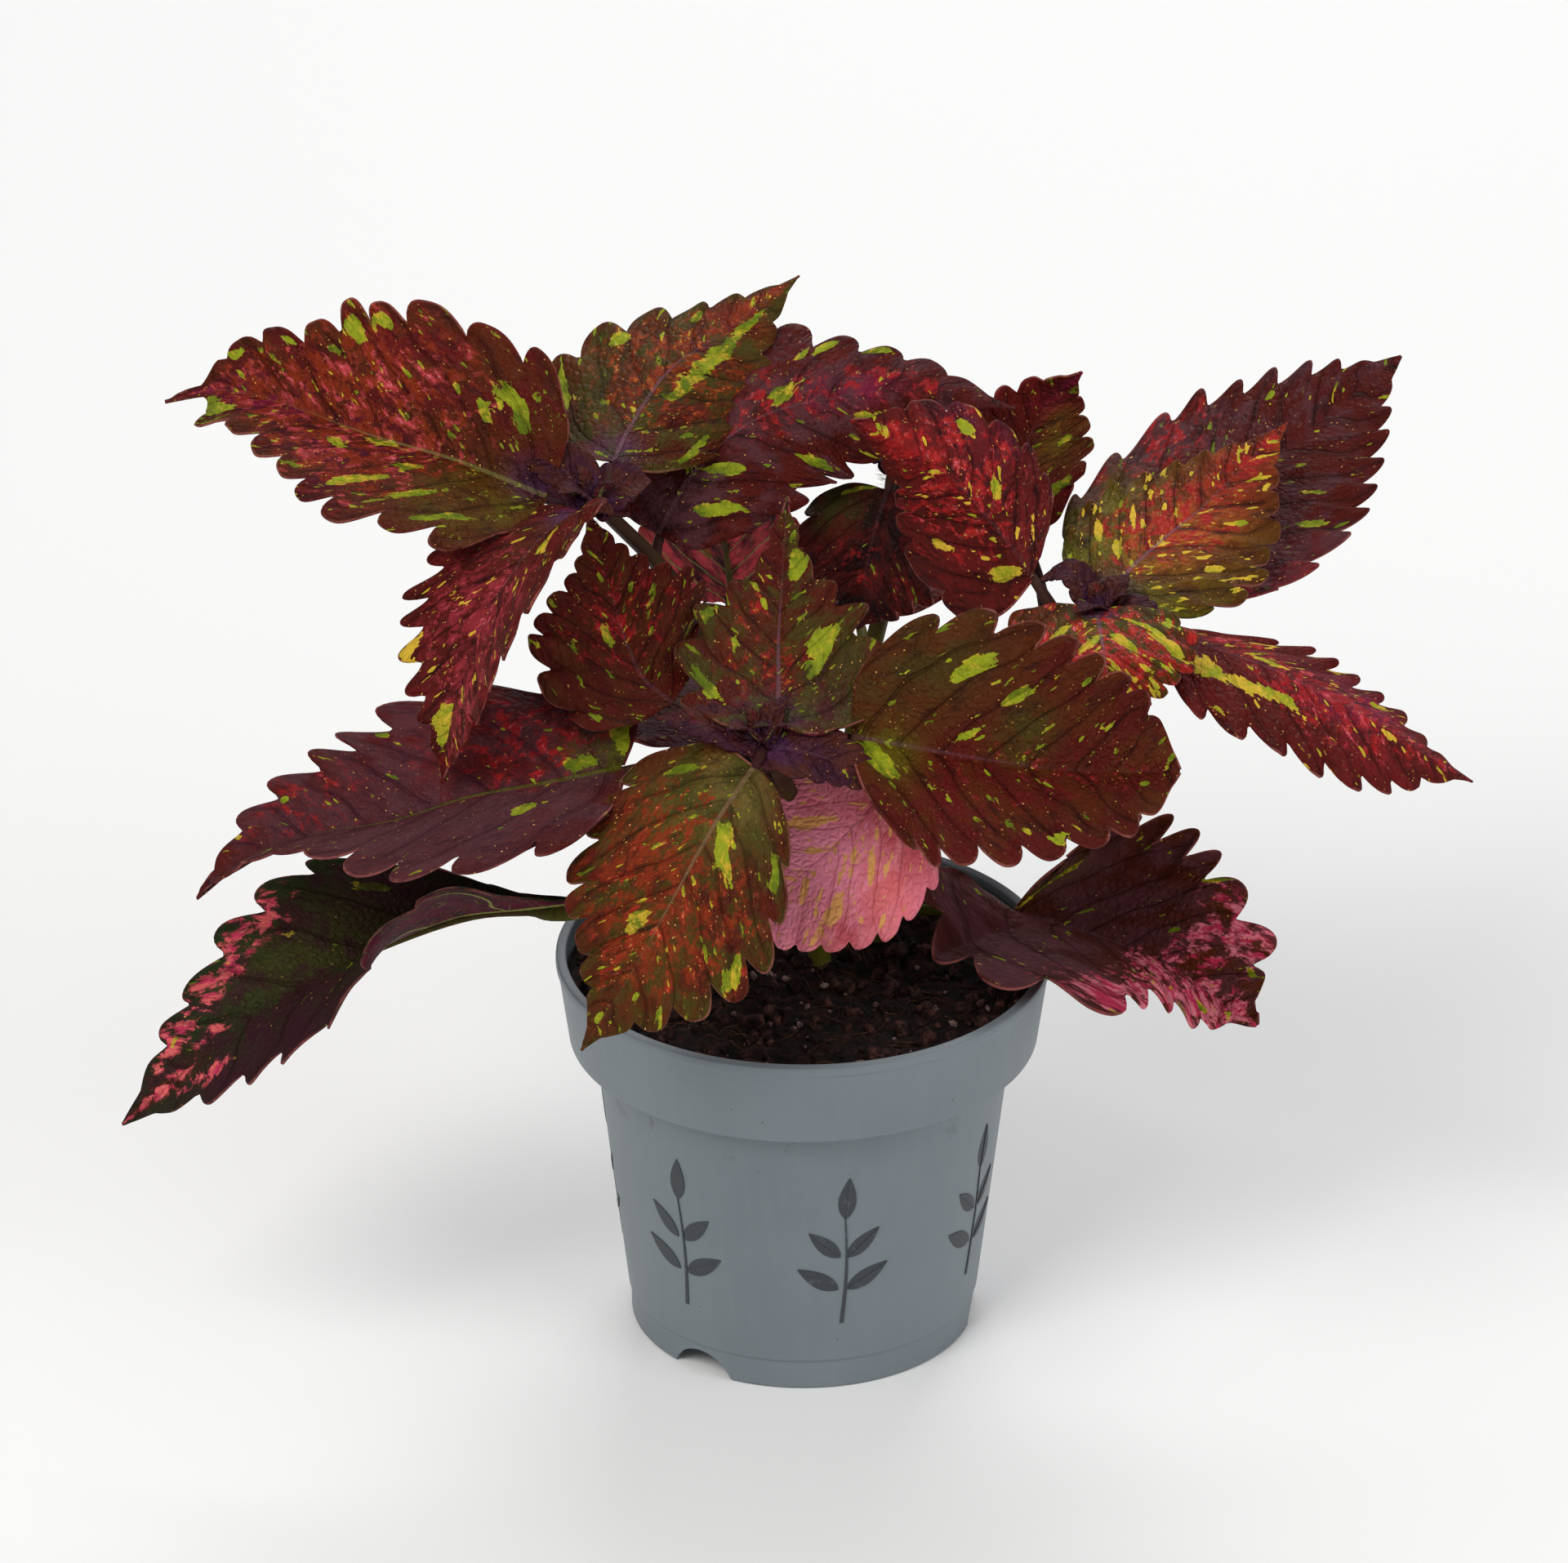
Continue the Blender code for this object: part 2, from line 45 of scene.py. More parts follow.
tones = {  # as seen on a screen, 0 to 255
    # the dark grounds
    "maroon": (82, 25, 19), "wine": (104, 27, 28), "plum": (58, 25, 36), "blackRed": (34, 13, 14),
    "brown": (84, 42, 17), "dusky": (88, 52, 58), "grape": (90, 26, 48), "darkGreen": (34, 46, 24),
    # reds and pinks
    "crimson": (168, 34, 36), "red": (180, 46, 38), "rust": (136, 50, 24), "orange": (184, 92, 34),
    "rosewood": (150, 48, 56), "rose": (206, 72, 84), "hotPink": (206, 54, 92), "magenta": (136, 34, 72),
    "salmon": (226, 104, 96), "pink": (234, 134, 146), "shell": (255, 150, 176), "peach": (232, 168, 92),
    # greens and yellows
    "moss": (66, 66, 22), "olive": (96, 92, 22), "leafGreen": (96, 112, 26), "lime": (150, 160, 36),
    "yellow": (222, 182, 58), "greenVein": (150, 150, 84),
    # veins, rims, hairs and stems
    "violet": (84, 50, 84), "lilac": (88, 60, 88), "mauve": (118, 84, 96), "edge": (160, 92, 84),
    "tan": (124, 98, 70), "bark": (64, 50, 26),
    # print on the pot
    "ink": (54, 58, 63), "inkRubbed": (84, 92, 98),
}


def tone(name):
    return tuple((c / 255) ** 2.2 for c in tones[name])


# paths
def smoothPath(points, steps=10):
    known = [Vector(p) for p in points]
    known = [2 * known[0] - known[1], *known, 2 * known[-1] - known[-2]]
    fine = []
    for a, b, c, d in zip(known, known[1:], known[2:], known[3:]):
        for k in range(steps):
            s = k / steps
            bend = (2 * a - 5 * b + 4 * c - d) * s**2 + (3 * b - a - 3 * c + d) * s**3
            fine.append(0.5 * (2 * b + (c - a) * s + bend))
    fine.append(known[-2])
    return fine


def tracePath(points, steps=10):  # each row: distance, point, direction, side
    fine = smoothPath(points, steps)
    side = (fine[1] - fine[0]).cross(Vector((0, 0, 1))).normalized()
    rows, distance = [], 0.0
    for i, point in enumerate(fine):
        if i:
            distance += (point - fine[i - 1]).length
        direction = (fine[min(i + 1, len(fine) - 1)] - fine[max(i - 1, 0)]).normalized()
        side = (side - side.dot(direction) * direction).normalized()
        rows.append((distance, point, direction, side))
    return rows


def placeOn(rows, share):
    wanted = share * rows[-1][0]
    for before, after in zip(rows, rows[1:]):
        if after[0] >= wanted:
            break
    s = (wanted - before[0]) / (after[0] - before[0])
    point, direction, side = (before[k].lerp(after[k], s) for k in (1, 2, 3))
    return point, direction.normalized(), side.normalized()


def along(values, u):
    place = u * (len(values) - 1)
    i = min(int(place), len(values) - 2)
    return values[i] + (values[i + 1] - values[i]) * (place - i)


# mesh helpers
def shapedGrid(name, alongCount, acrossCount, place):  # a grid laid on a surface by place(s, t)
    bpy.ops.mesh.primitive_grid_add(x_subdivisions=alongCount, y_subdivisions=acrossCount, size=1)
    piece = bpy.context.object
    piece.name = piece.data.name = name
    for vertex in piece.data.vertices:
        vertex.co = place(vertex.co.x + 0.5, vertex.co.y + 0.5) * mm
    return piece


def weldAndSmooth(piece):
    bpy.ops.object.mode_set(mode="EDIT")
    bpy.ops.mesh.select_all(action="SELECT")
    bpy.ops.mesh.remove_doubles(threshold=weldDistance)
    bpy.ops.object.mode_set(mode="OBJECT")
    bpy.ops.object.shade_smooth()
    return piece


def applyModifier(piece, kind, **settings):
    modifier = piece.modifiers.new(kind.lower(), kind)
    for key, value in settings.items():
        setattr(modifier, key, value)
    bpy.context.view_layer.objects.active = piece
    bpy.ops.object.modifier_apply(modifier=modifier.name)


def joinPieces(pieces, name):
    bpy.ops.object.select_all(action="DESELECT")
    for piece in pieces:
        piece.select_set(True)
    bpy.context.view_layer.objects.active = pieces[0]
    if len(pieces) > 1:
        bpy.ops.object.join()
    joined = bpy.context.object
    joined.name = joined.data.name = name
    bpy.ops.object.select_all(action="DESELECT")
    return joined


def tubeAlong(name, points, radii, around, squareness, steps, tint=(0, 0)):  # closed at both ends
    rows = tracePath(points, steps)
    last = len(rows) - 1
    shades = []

    def place(s, t):
        k = round(s * (last + 2)) - 1
        inside = min(max(k, 0), last)
        _, point, direction, side = rows[inside]
        angle = 2 * pi * t
        radius = 0.0
        if k == inside:  # the first and last rings shrink to a point
            radius = along(radii, inside / last) * (1 + squareness * cos(4 * angle) * 0.5)
        up = side.cross(direction)
        shades.append(along(tint, inside / last))
        return point + (side * cos(angle) + up * sin(angle)) * radius

    piece = shapedGrid(name, last + 2, around, place)
    shade = piece.data.attributes.new("tint", "FLOAT", "POINT")
    shade.data.foreach_set("value", shades)
    return weldAndSmooth(piece)


# node helpers
def newMaterial(name):
    material = bpy.data.materials.new(name)
    material.use_nodes = True
    return material, material.node_tree, material.node_tree.nodes["Principled BSDF"]


def plug(tree, socket, value):
    if isinstance(value, bpy.types.NodeSocket):
        tree.links.new(value, socket)
    elif value is not None:
        socket.default_value = value


def calc(tree, operation, a, b=None):
    node = tree.nodes.new("ShaderNodeMath")
    node.operation = operation
    for socket, value in zip(node.inputs, (a, b)):
        plug(tree, socket, value)
    return node.outputs[0]


def times(tree, a, b):
    return calc(tree, "MULTIPLY", a, b)


def plus(tree, a, b):
    return calc(tree, "ADD", a, b)


def minus(tree, a, b):
    return calc(tree, "SUBTRACT", a, b)


def ease(tree, value, low, high, start=0.0, end=1.0):
    node = tree.nodes.new("ShaderNodeMapRange")
    node.interpolation_type = "SMOOTHSTEP"
    for socket, given in zip(node.inputs, (value, low, high, start, end)):
        plug(tree, socket, given)
    return node.outputs[0]


def mixTone(tree, factor, a, b):
    node = tree.nodes.new("ShaderNodeMix")
    node.data_type = "RGBA"
    for socket, value in ((node.inputs[0], factor), (node.inputs[6], a), (node.inputs[7], b)):
        if isinstance(value, str):
            value = (*tone(value), 1)
        plug(tree, socket, value)
    return node.outputs[2]


def noiseAt(tree, vector, scale, detail=2.0, roughness=0.5, distortion=0.0):
    node = tree.nodes.new("ShaderNodeTexNoise")
    plug(tree, node.inputs["Vector"], vector)
    node.inputs["Scale"].default_value = scale
    node.inputs["Detail"].default_value = detail
    node.inputs["Roughness"].default_value = roughness
    node.inputs["Distortion"].default_value = distortion
    return node.outputs[0]


def cellsAt(tree, vector, scale, feature="F1"):
    node = tree.nodes.new("ShaderNodeTexVoronoi")
    node.feature = feature
    plug(tree, node.inputs["Vector"], vector)
    node.inputs["Scale"].default_value = scale
    return node.outputs["Distance"]


def cellOutputs(tree, vector, scale):  # distance to the cell's middle, its random tone and its middle
    node = tree.nodes.new("ShaderNodeTexVoronoi")
    plug(tree, node.inputs["Vector"], vector)
    node.inputs["Scale"].default_value = scale
    return node.outputs["Distance"], separate(tree, node.outputs["Color"])[0], node.outputs["Position"]


def between(tree, factor, a, b):  # a place between two others
    node = tree.nodes.new("ShaderNodeMix")
    node.data_type = "VECTOR"
    plug(tree, node.inputs[0], factor)
    plug(tree, node.inputs[4], a)
    plug(tree, node.inputs[5], b)
    return node.outputs[1]


def combine(tree, x, y, z):
    node = tree.nodes.new("ShaderNodeCombineXYZ")
    for socket, value in zip(node.inputs, (x, y, z)):
        plug(tree, socket, value)
    return node.outputs[0]


def separate(tree, vector):
    node = tree.nodes.new("ShaderNodeSeparateXYZ")
    tree.links.new(vector, node.inputs[0])
    return node.outputs


def readAttribute(tree, name, output="Vector"):
    node = tree.nodes.new("ShaderNodeAttribute")
    node.attribute_name = name
    return node.outputs[output]


def objectSpace(tree):
    return tree.nodes.new("ShaderNodeTexCoord").outputs["Object"]


def addBump(tree, shader, height, distance, strength=1.0):
    node = tree.nodes.new("ShaderNodeBump")
    node.inputs["Strength"].default_value = strength
    node.inputs["Distance"].default_value = distance
    tree.links.new(height, node.inputs["Height"])
    tree.links.new(node.outputs[0], shader.inputs["Normal"])


# camera, floor and light
view = dict(elevation=27, distance=2200, target=(-4.7, 0, 143.7), lens=210.7, sensor=36, near=0.05, far=50)


def addCamera():
    tilt = radians(view["elevation"])
    away = Vector((0, cos(tilt), -sin(tilt)))
    bpy.ops.object.camera_add(rotation=(pi / 2 - tilt, 0, 0))
    camera = bpy.context.object
    camera.location = (Vector(view["target"]) - away * view["distance"]) * mm
    camera.data.lens = view["lens"]
    camera.data.sensor_width = view["sensor"]
    camera.data.clip_start, camera.data.clip_end = view["near"], view["far"]
    bpy.context.scene.camera = camera


lamps = {  # place in metres, size, power, tint
    "keyLamp": dict(at=(-1.1, -1.5, 2.1), size=1.3, power=37, tint=(1.0, 0.985, 0.96)),
    "fillLamp": dict(at=(1.7, -1.3, 1.3), size=1.6, power=15, tint=(0.97, 0.985, 1.0)),
    "backLamp": dict(at=(0.3, 1.8, 1.9), size=1.4, power=26, tint=(1.0, 1.0, 1.0)),
}
room = dict(lampAim=(0, 0, 0.14), skyPower=0.36, floorSize=14, floorHeight=-0.0003, floorGrey=0.93)


def addStudio():
    for name, lamp in lamps.items():
        bpy.ops.object.light_add(type="AREA", location=lamp["at"])
        light = bpy.context.object
        light.name = name
        light.data.energy, light.data.size, light.data.color = lamp["power"], lamp["size"], lamp["tint"]
        aim = Vector(room["lampAim"]) - Vector(lamp["at"])
        light.rotation_euler = aim.to_track_quat("-Z", "Y").to_euler()
    world = bpy.data.worlds.new("studio")
    world.use_nodes = True
    sky = world.node_tree.nodes["Background"]
    sky.inputs["Color"].default_value = (1, 1, 1, 1)
    sky.inputs["Strength"].default_value = room["skyPower"]
    bpy.context.scene.world = world
    bpy.context.scene.view_settings.view_transform = "Standard"
    bpy.ops.mesh.primitive_plane_add(size=room["floorSize"], location=(0, 0, room["floorHeight"]))
    ground = bpy.context.object
    ground.name = "paleFloor"
    material, tree, shader = newMaterial("paleFloor")
    shader.inputs["Base Color"].default_value = (*(room["floorGrey"],) * 3, 1)
    shader.inputs["Roughness"].default_value = 0.9
    ground.data.materials.append(material)


addCamera()
addStudio()
print("camera and studio ready")


# leaf blades
stems = {
    "leafy_stem_centre": [(4, 4, 70), (4, 3, 92), (2, 0, 122), (-4, -20, 152), (-10, -38, 174)],
    "leafy_stem_left": [(-12, 18, 70), (-13, 18, 92), (-18, 17, 140), (-28, 14, 184), (-50, 6, 216)],
    "leafy_stem_right": [(17, 18, 70), (18, 18, 92), (30, 18, 130), (50, 6, 168), (71, -10, 194)],
    "leafy_stem_back": [(3, 34, 70), (5, 35, 92), (14, 42, 145), (21, 45, 178), (22, 44, 207)],
}

blade = dict(
    # shape: across and along in shares of the leaf, heights in millimetres
    roll=(0, 0), fold=(5, 5), droop=2, tail=0.6, lobes=(0.1, 0.1), right=(1, 1), left=(1, 1),
    stalk=(1.7, 1.5, 1.15),
    teeth=8, toothDepth=0.18, toothSkew=1.1, toothRound=3, toothSpan=(0.05, 0.93), toothPack=1, lean=0.25,
    ripple=0.8, puff=0.5, wave=1.5, veinStep=0.135, sweep=0.38, veinSweep=0.6, thickness=0.6,
    lobeSpan=0.35, fullSize=14, ribGroove=0.3, ribGrooveWidth=1.3,
    # ground; zones: place along, place across (right side below 0), size, tone, strength
    ground="maroon", second="brown", zones=(), dark=0.5, veinTone="blackRed", net=0.08,
    # the mottled second tone; flush: place along, place across, size, strength
    flush=(), flushTone="crimson", deepTone="crimson", sparkTone="pink", glow=0.5,
    # pale splashes; patches: place along, place across, length, width
    patches=(), splash=0.5, specks=0.5, splashTone="lime", splashShade="leafGreen", warmTone="yellow",
    # midrib, rim, underside, hairs and shine
    rib=0.2, ribTone="mauve", rimTone="edge", underTone="magenta", fuzz=0, gloss=0.1,
    # mesh: rows for each tooth, how much they crowd at the base, and columns
    fineRows=17, crowding=1.4, columns=44)

leaves = {
    "leafy_stem_left": {
        "left": dict(
            at=0.97,
            midrib=[(-61, 7, 216), (-82, 14, 222), (-103, 20, 226), (-124, 25, 232),
                    (-139, 28, 234), (-152, 26, 232)],
            width=72, roll=(34, 32), fold=(28, 30), tail=1,
            teeth=9, toothDepth=0.2,
            right=[1] * 13 + [1.05, 1.2, 1.45, 1.6, 1.7, 0.7, 1.2, 2.4],
            left=[1] * 13 + [1.05, 1.2, 1.6, 2.4, 2.4, 0.7, 1.2, 2.4],
            ground="maroon", second="brown", dark=0.6, rib=0.3, ribTone="greenVein",
            zones=((0.02, 0, 0.09, "violet", 4), (0.12, 0.4, 0.16, "olive", 2.5),
                   (0.5, 0.35, 0.2, "grape", 4), (0.9, 0, 0.14, "magenta", 6),
                   (0.4, -0.95, 0.3, "wine", 3), (0.7, 0.1, 0.1, "magenta", 4)),
            flush=((0.4, -0.45, 0.26, 0.9), (0.65, -0.3, 0.25, 1.1), (0.86, 0, 0.18, 1.2),
                   (0.3, 0, 0.1, 0.5), (0.4, 0.45, 0.2, 1.2), (0.62, 0.4, 0.2, 1.3)),
            flushTone="rose", deepTone="rust",
            patches=((0.13, -0.5, 0.03, 0.22), (0.19, -0.35, 0.02, 0.12), (0.5, -0.82, 0.045, 0.16),
                     (0.67, -0.85, 0.02, 0.09), (0.8, -0.8, 0.03, 0.16), (0.42, 0.05, 0.1, 0.05),
                     (0.24, 0.55, 0.03, 0.28), (0.15, 0.68, 0.035, 0.18), (0.36, 0.6, 0.035, 0.2),
                     (0.84, 0.75, 0.1, 0.5), (0.5, 0.3, 0.06, 0.06), (0.4, -0.85, 0.04, 0.14),
                     (0.56, -0.7, 0.03, 0.1), (0.3, 0.25, 0.05, 0.1)),
            splash=0.55, specks=0.9),
        "back": dict(
            at=0.97,
            midrib=[(-45, 12, 223), (-41, 24, 227), (-32, 40, 234), (-17, 54, 239), (-1, 66, 247)],
            width=46, roll=(-17, -12), fold=(-22, -15), droop=0, tail=0.7, lobes=(-0.3, 0.1),
            teeth=7,
            left=(1.3, 1.3, 1.2, 1.05, 1, 1, 1, 1),
            ground="brown", second="moss", rib=0.5,
            zones=((0.02, 0, 0.12, "violet", 3), (0.85, 0.2, 0.2, "crimson", 2),
                   (0.3, -0.6, 0.25, "maroon", 3), (0.6, -0.1, 0.1, "grape", 2)),
            flush=((0.5, 0, 0.4, 0.9), (0.9, 0.3, 0.2, 1)),
            flushTone="orange", deepTone="rust", sparkTone="peach",
            patches=((0.6, -0.25, 0.36, 0.2), (0.2, 0.75, 0.05, 0.16), (0.4, 0.75, 0.04, 0.12),
                     (0.15, -0.75, 0.1, 0.08), (0.62, 0.7, 0.04, 0.14)),
            splash=0.6, specks=0.7),
        "front": dict(
            at=0.985,
            midrib=[(-53, -4, 217.5), (-62, -15, 215.5), (-70, -26, 209), (-77, -34, 197.5),
                    (-82, -40, 183), (-85, -42, 164.5)],
            width=54, roll=(-24, -14), fold=(16, 12), droop=1, tail=0.5,
            toothDepth=0.24, toothSkew=1.6, toothRound=2.2,
            ground="maroon", second="wine", dark=0.7,
            zones=((0.02, 0, 0.1, "violet", 5), (0.15, 0, 0.15, "brown", 2)),
            flush=((0.45, -0.2, 0.3, 0.9), (0.6, 0.3, 0.3, 0.9), (0.85, 0.4, 0.2, 0.8)),
            flushTone="rose", deepTone="rosewood", glow=0.54,
            patches=((0.83, -0.25, 0.14, 0.6), (0.2, 0.3, 0.08, 0.1), (0.55, -0.9, 0.05, 0.2)),
            specks=0.9, splashShade="yellow"),
        "arching": dict(
            at=0.72,
            midrib=[(-35, 20, 200), (-26, 28, 213), (-11, 36, 223), (10, 42, 226), (31, 46, 226),
                    (51, 46, 221)],
            width=46, roll=(-30, -30), fold=(-5, -10), droop=3, tail=0.7,
            ground="maroon", second="dusky", dark=0.7,
            zones=((0.6, 0.1, 0.12, "magenta", 2), (0.1, 0, 0.15, "blackRed", 3)),
            flush=((0.4, 0.1, 0.2, 0.5), (0.7, 0.2, 0.25, 0.6)),
            flushTone="rosewood",
            patches=((0.12, -0.5, 0.04, 0.3), (0.22, -0.25, 0.03, 0.25), (0.26, 0.4, 0.03, 0.25),
                     (0.4, -0.7, 0.05, 0.22), (0.42, 0.2, 0.05, 0.16), (0.36, 0.8, 0.03, 0.2),
                     (0.52, 0.85, 0.03, 0.16), (0.6, -0.4, 0.04, 0.2), (0.64, 0.9, 0.05, 0.1)),
            splash=0.55),
    },
    "leafy_stem_centre": {
        "back": dict(
            at=0.97,
            midrib=[(-7, -36, 177), (-6, -23, 179), (-6, -8, 186), (-5, 8, 196), (-4, 22, 209)],
            width=49, fold=(5, 10), tail=0.7, lobes=(0.6, 0.5),
            teeth=6, toothDepth=0.26, toothRound=2.2,
            right=(1, 1, 1, 1, 0.95, 0.85, 0.72, 0.62, 0.6, 0.7, 0.8),
            left=(1, 1, 1, 1, 0.95, 0.82, 0.66, 0.58, 0.6, 0.7, 0.8),
            ground="maroon", second="moss", rib=0.5,
            zones=((0.02, 0, 0.14, "violet", 4), (0.3, -0.6, 0.25, "brown", 3),
                   (0.15, -0.6, 0.15, "plum", 2), (0.45, 0.4, 0.2, "brown", 2)),
            flush=((0.3, 0.1, 0.25, 0.35), (0.55, 0.5, 0.15, 0.4)),
            flushTone="orange", sparkTone="peach",
            patches=((0.34, -0.45, 0.09, 0.32), (0.74, -0.6, 0.14, 0.55), (0.2, 0.75, 0.06, 0.26),
                     (0.42, 0.85, 0.05, 0.14), (0.55, 0.3, 0.03, 0.12), (0.35, 0.45, 0.05, 0.06)),
            specks=0.9),
        "front": dict(
            at=0.97,
            midrib=[(-12, -46, 171), (-21, -60, 163), (-31, -72, 149), (-41, -80, 133),
                    (-52, -82, 115)],
            width=61, roll=(8, 10), fold=(-5, -8), tail=0.7, lobes=(0.3, -0.2),
            teeth=7, toothDepth=0.2,
            left=(0.6, 0.7, 0.82, 0.92, 1, 1, 1, 1, 1, 1),
            ground="brown", second="moss", rib=0.7, ribTone="tan",
            zones=((0.08, 0, 0.19, "tan", 3), (0.12, 0, 0.2, "olive", 5),
                   (0.35, 0.7, 0.25, "maroon", 4), (0.92, 0, 0.2, "brown", 5),
                   (0.6, 0.1, 0.2, "rust", 1.5), (0.4, -0.95, 0.2, "wine", 3)),
            flush=((0.32, -0.4, 0.25, 1), (0.5, 0.3, 0.3, 0.9), (0.66, -0.3, 0.22, 0.9)),
            flushTone="red", deepTone="rust", sparkTone="peach", glow=0.54,
            patches=((0.1, -0.6, 0.025, 0.16), (0.56, -0.25, 0.05, 0.18), (0.24, 0.16, 0.07, 0.1),
                     (0.3, 0.32, 0.03, 0.2), (0.48, 0.85, 0.05, 0.16), (0.2, 0.8, 0.06, 0.1),
                     (0.75, 0.35, 0.025, 0.07), (0.88, -0.2, 0.03, 0.2)),
            splash=0.48, specks=0.8),
        "right": dict(
            at=0.86,
            midrib=[(11, -36, 174), (26, -42, 174), (42, -50, 175), (59, -57, 176), (75, -62, 178),
                    (87, -64, 179)],
            width=70, roll=(-44, -44), fold=(26, 22), tail=0.1, lobes=(-0.5, 0.1),
            toothDepth=0.16, toothSpan=(0.05, 0.99),
            right=(1, 1, 1, 1, 1, 1, 1.03, 1.12, 1.25, 1.5, 1.9),
            left=(1, 1, 1, 1, 1, 1, 1.03, 1.12, 1.25, 1.5, 1.9),
            ground="maroon", second="brown", dark=0.6,
            zones=((0.5, 0.25, 0.1, "moss", 4), (0.3, -0.5, 0.3, "wine", 1),
                   (0.15, 0.6, 0.2, "moss", 2), (0.1, -0.1, 0.12, "olive", 4)),
            flush=((0.5, -0.2, 0.3, 0.3), (0.8, 0, 0.3, 0.25)),
            deepTone="wine",
            patches=((0.27, 0.62, 0.05, 0.2), (0.42, 0.5, 0.045, 0.16), (0.33, 0.14, 0.05, 0.12),
                     (0.07, -0.2, 0.09, 0.3), (0.62, -0.88, 0.05, 0.16), (0.9, -0.3, 0.02, 0.1),
                     (0.6, 0.8, 0.02, 0.08)),
            splash=0.42, specks=0.6),
        "left": dict(
            at=0.86,
            midrib=[(-43, -32, 164), (-60, -38, 163), (-79, -40, 160), (-96, -40, 154),
                    (-116, -38, 149), (-130, -36, 143), (-144, -34, 130)],
            width=62, roll=(20, 8), fold=(9, 28, 30), droop=1, lobes=(0.8, -0.3),
            toothDepth=0.23, toothSkew=1.5, toothRound=2.2, lean=0.4,
            left=(1, 1, 1.1, 1.15, 1.1, 0.92, 0.78, 0.72, 0.75, 0.9, 1),
            ground="maroon", second="dusky", dark=0.7, veinTone="plum", rib=0.4,
            ribTone="leafGreen",
            zones=((0.04, -0.2, 0.1, "leafGreen", 2), (0.25, -0.6, 0.2, "wine", 3),
                   (0.6, 0.2, 0.3, "dusky", 3), (0.3, 0.5, 0.2, "dusky", 3)),
            flush=((0.2, -0.4, 0.2, 0.7), (0.7, -0.5, 0.3, 0.35)),
            patches=((0.03, -0.5, 0.05, 0.45), (0.1, -0.12, 0.07, 0.1), (0.46, -0.1, 0.02, 0.07),
                     (0.2, 0.3, 0.03, 0.1), (0.7, -0.7, 0.02, 0.1)),
            splash=0.34, specks=0.45),
        "upper_left": dict(
            at=0.75,
            midrib=[(-31, -22, 176), (-38, -15, 179), (-43, -8, 188), (-47, -2, 200),
                    (-50.5, 2, 213)],
            width=50, roll=(10, 10), fold=(5, 10), lobes=(-0.3, 0.1),
            right=(1, 1, 1, 1, 1, 0.92, 0.82, 0.76, 0.76, 0.9, 1),
            left=(1, 1, 1, 1, 1, 0.92, 0.82, 0.76, 0.76, 0.9, 1),
            ground="maroon", second="brown",
            flush=((0.5, 0, 0.4, 0.5),),
            patches=((0.42, 0.2, 0.09, 0.1), (0.6, -0.4, 0.03, 0.14), (0.7, 0.2, 0.03, 0.1),
                     (0.2, -0.7, 0.04, 0.14)),
            splash=0.36, specks=0.9),
        "low_front": dict(
            at=0.6,
            midrib=[(22, -16, 152), (15, -24, 147), (5, -30, 139), (-7, -36, 131), (-18, -40, 122)],
            width=50, roll=(30, 20), fold=(0, 0), tail=0.3, lobes=(0.1, -0.3), puff=0.3,
            toothDepth=0.1,
            ground="shell", second="pink", dark=0.2, veinTone="rose", ribTone="rosewood", gloss=0.3,
            zones=((0.5, 1, 0.2, "red", 3), (0.05, 0.3, 0.25, "red", 6), (0.95, 0, 0.2, "rose", 1),
                   (0.25, -0.4, 0.12, "rose", 1), (0.3, 0.7, 0.12, "salmon", 3)),
            flush=((0.5, -0.1, 0.4, 0.6),),
            flushTone="shell", deepTone="shell", sparkTone="shell", glow=0.4,
            patches=((0.35, -0.35, 0.05, 0.24), (0.5, 0.55, 0.05, 0.2), (0.3, 0.4, 0.04, 0.2),
                     (0.6, 0.2, 0.03, 0.15), (0.75, -0.4, 0.04, 0.2)),
            splash=0.75, specks=1.2, splashTone="peach", splashShade="peach", warmTone="peach"),
        "low_left": dict(
            at=0.33,
            midrib=[(-55, -11, 117), (-67, -14, 117), (-83, -18, 117), (-97, -22, 113),
                    (-113, -28, 108), (-127, -32, 101), (-143, -38, 90), (-163, -42, 73)],
            stalk=(1.6, 1.8, 2.2),
            width=60, roll=(5, 10, 22, 30, 30), fold=(60, 62, 20, 10, 5), tail=0.4,
            toothSkew=1.4, toothRound=2.2,
            right=(0.1, 0.14, 0.35, 0.8, 1, 1, 1, 1, 1, 1, 1),
            left=(0.1, 0.2, 0.55, 0.85, 1, 1, 1, 1, 1, 1, 1),
            ground="darkGreen", second="plum", dark=0.3, ribTone="plum", underTone="grape",
            zones=((0.3, -0.4, 0.15, "plum", 2), (0.93, 0, 0.15, "maroon", 2),
                   (0.62, 0.9, 0.3, "plum", 3), (0.5, -0.3, 0.2, "moss", 2)),
            flush=((0.5, -0.8, 0.08, 1.2), (0.64, -0.75, 0.09, 1.6), (0.8, -0.7, 0.1, 1.6),
                   (0.93, 0, 0.12, 1.4), (0.74, -0.2, 0.05, 1.2), (0.8, 0.5, 0.08, 1)),
            flushTone="salmon", deepTone="hotPink", glow=0.42,
            patches=((0.32, -0.55, 0.03, 0.16), (0.8, -0.7, 0.03, 0.1), (0.5, -0.5, 0.02, 0.1)),
            splash=0.3, specks=0.15, splashTone="leafGreen", splashShade="moss"),
        "low_right": dict(
            at=0.24,
            midrib=[(51, 8, 104), (65, 4, 102), (78, 0, 99), (90, -5, 96), (102, -12, 89),
                    (109, -18, 87)],
            width=66, roll=(8, -22, -23, -24, -23, -22, -21, -24, -25),
            fold=(53, 27, 31, 33, 33, 31, 28, 26, 25), droop=1, tail=0.1, lobes=(1.2, -0.4),
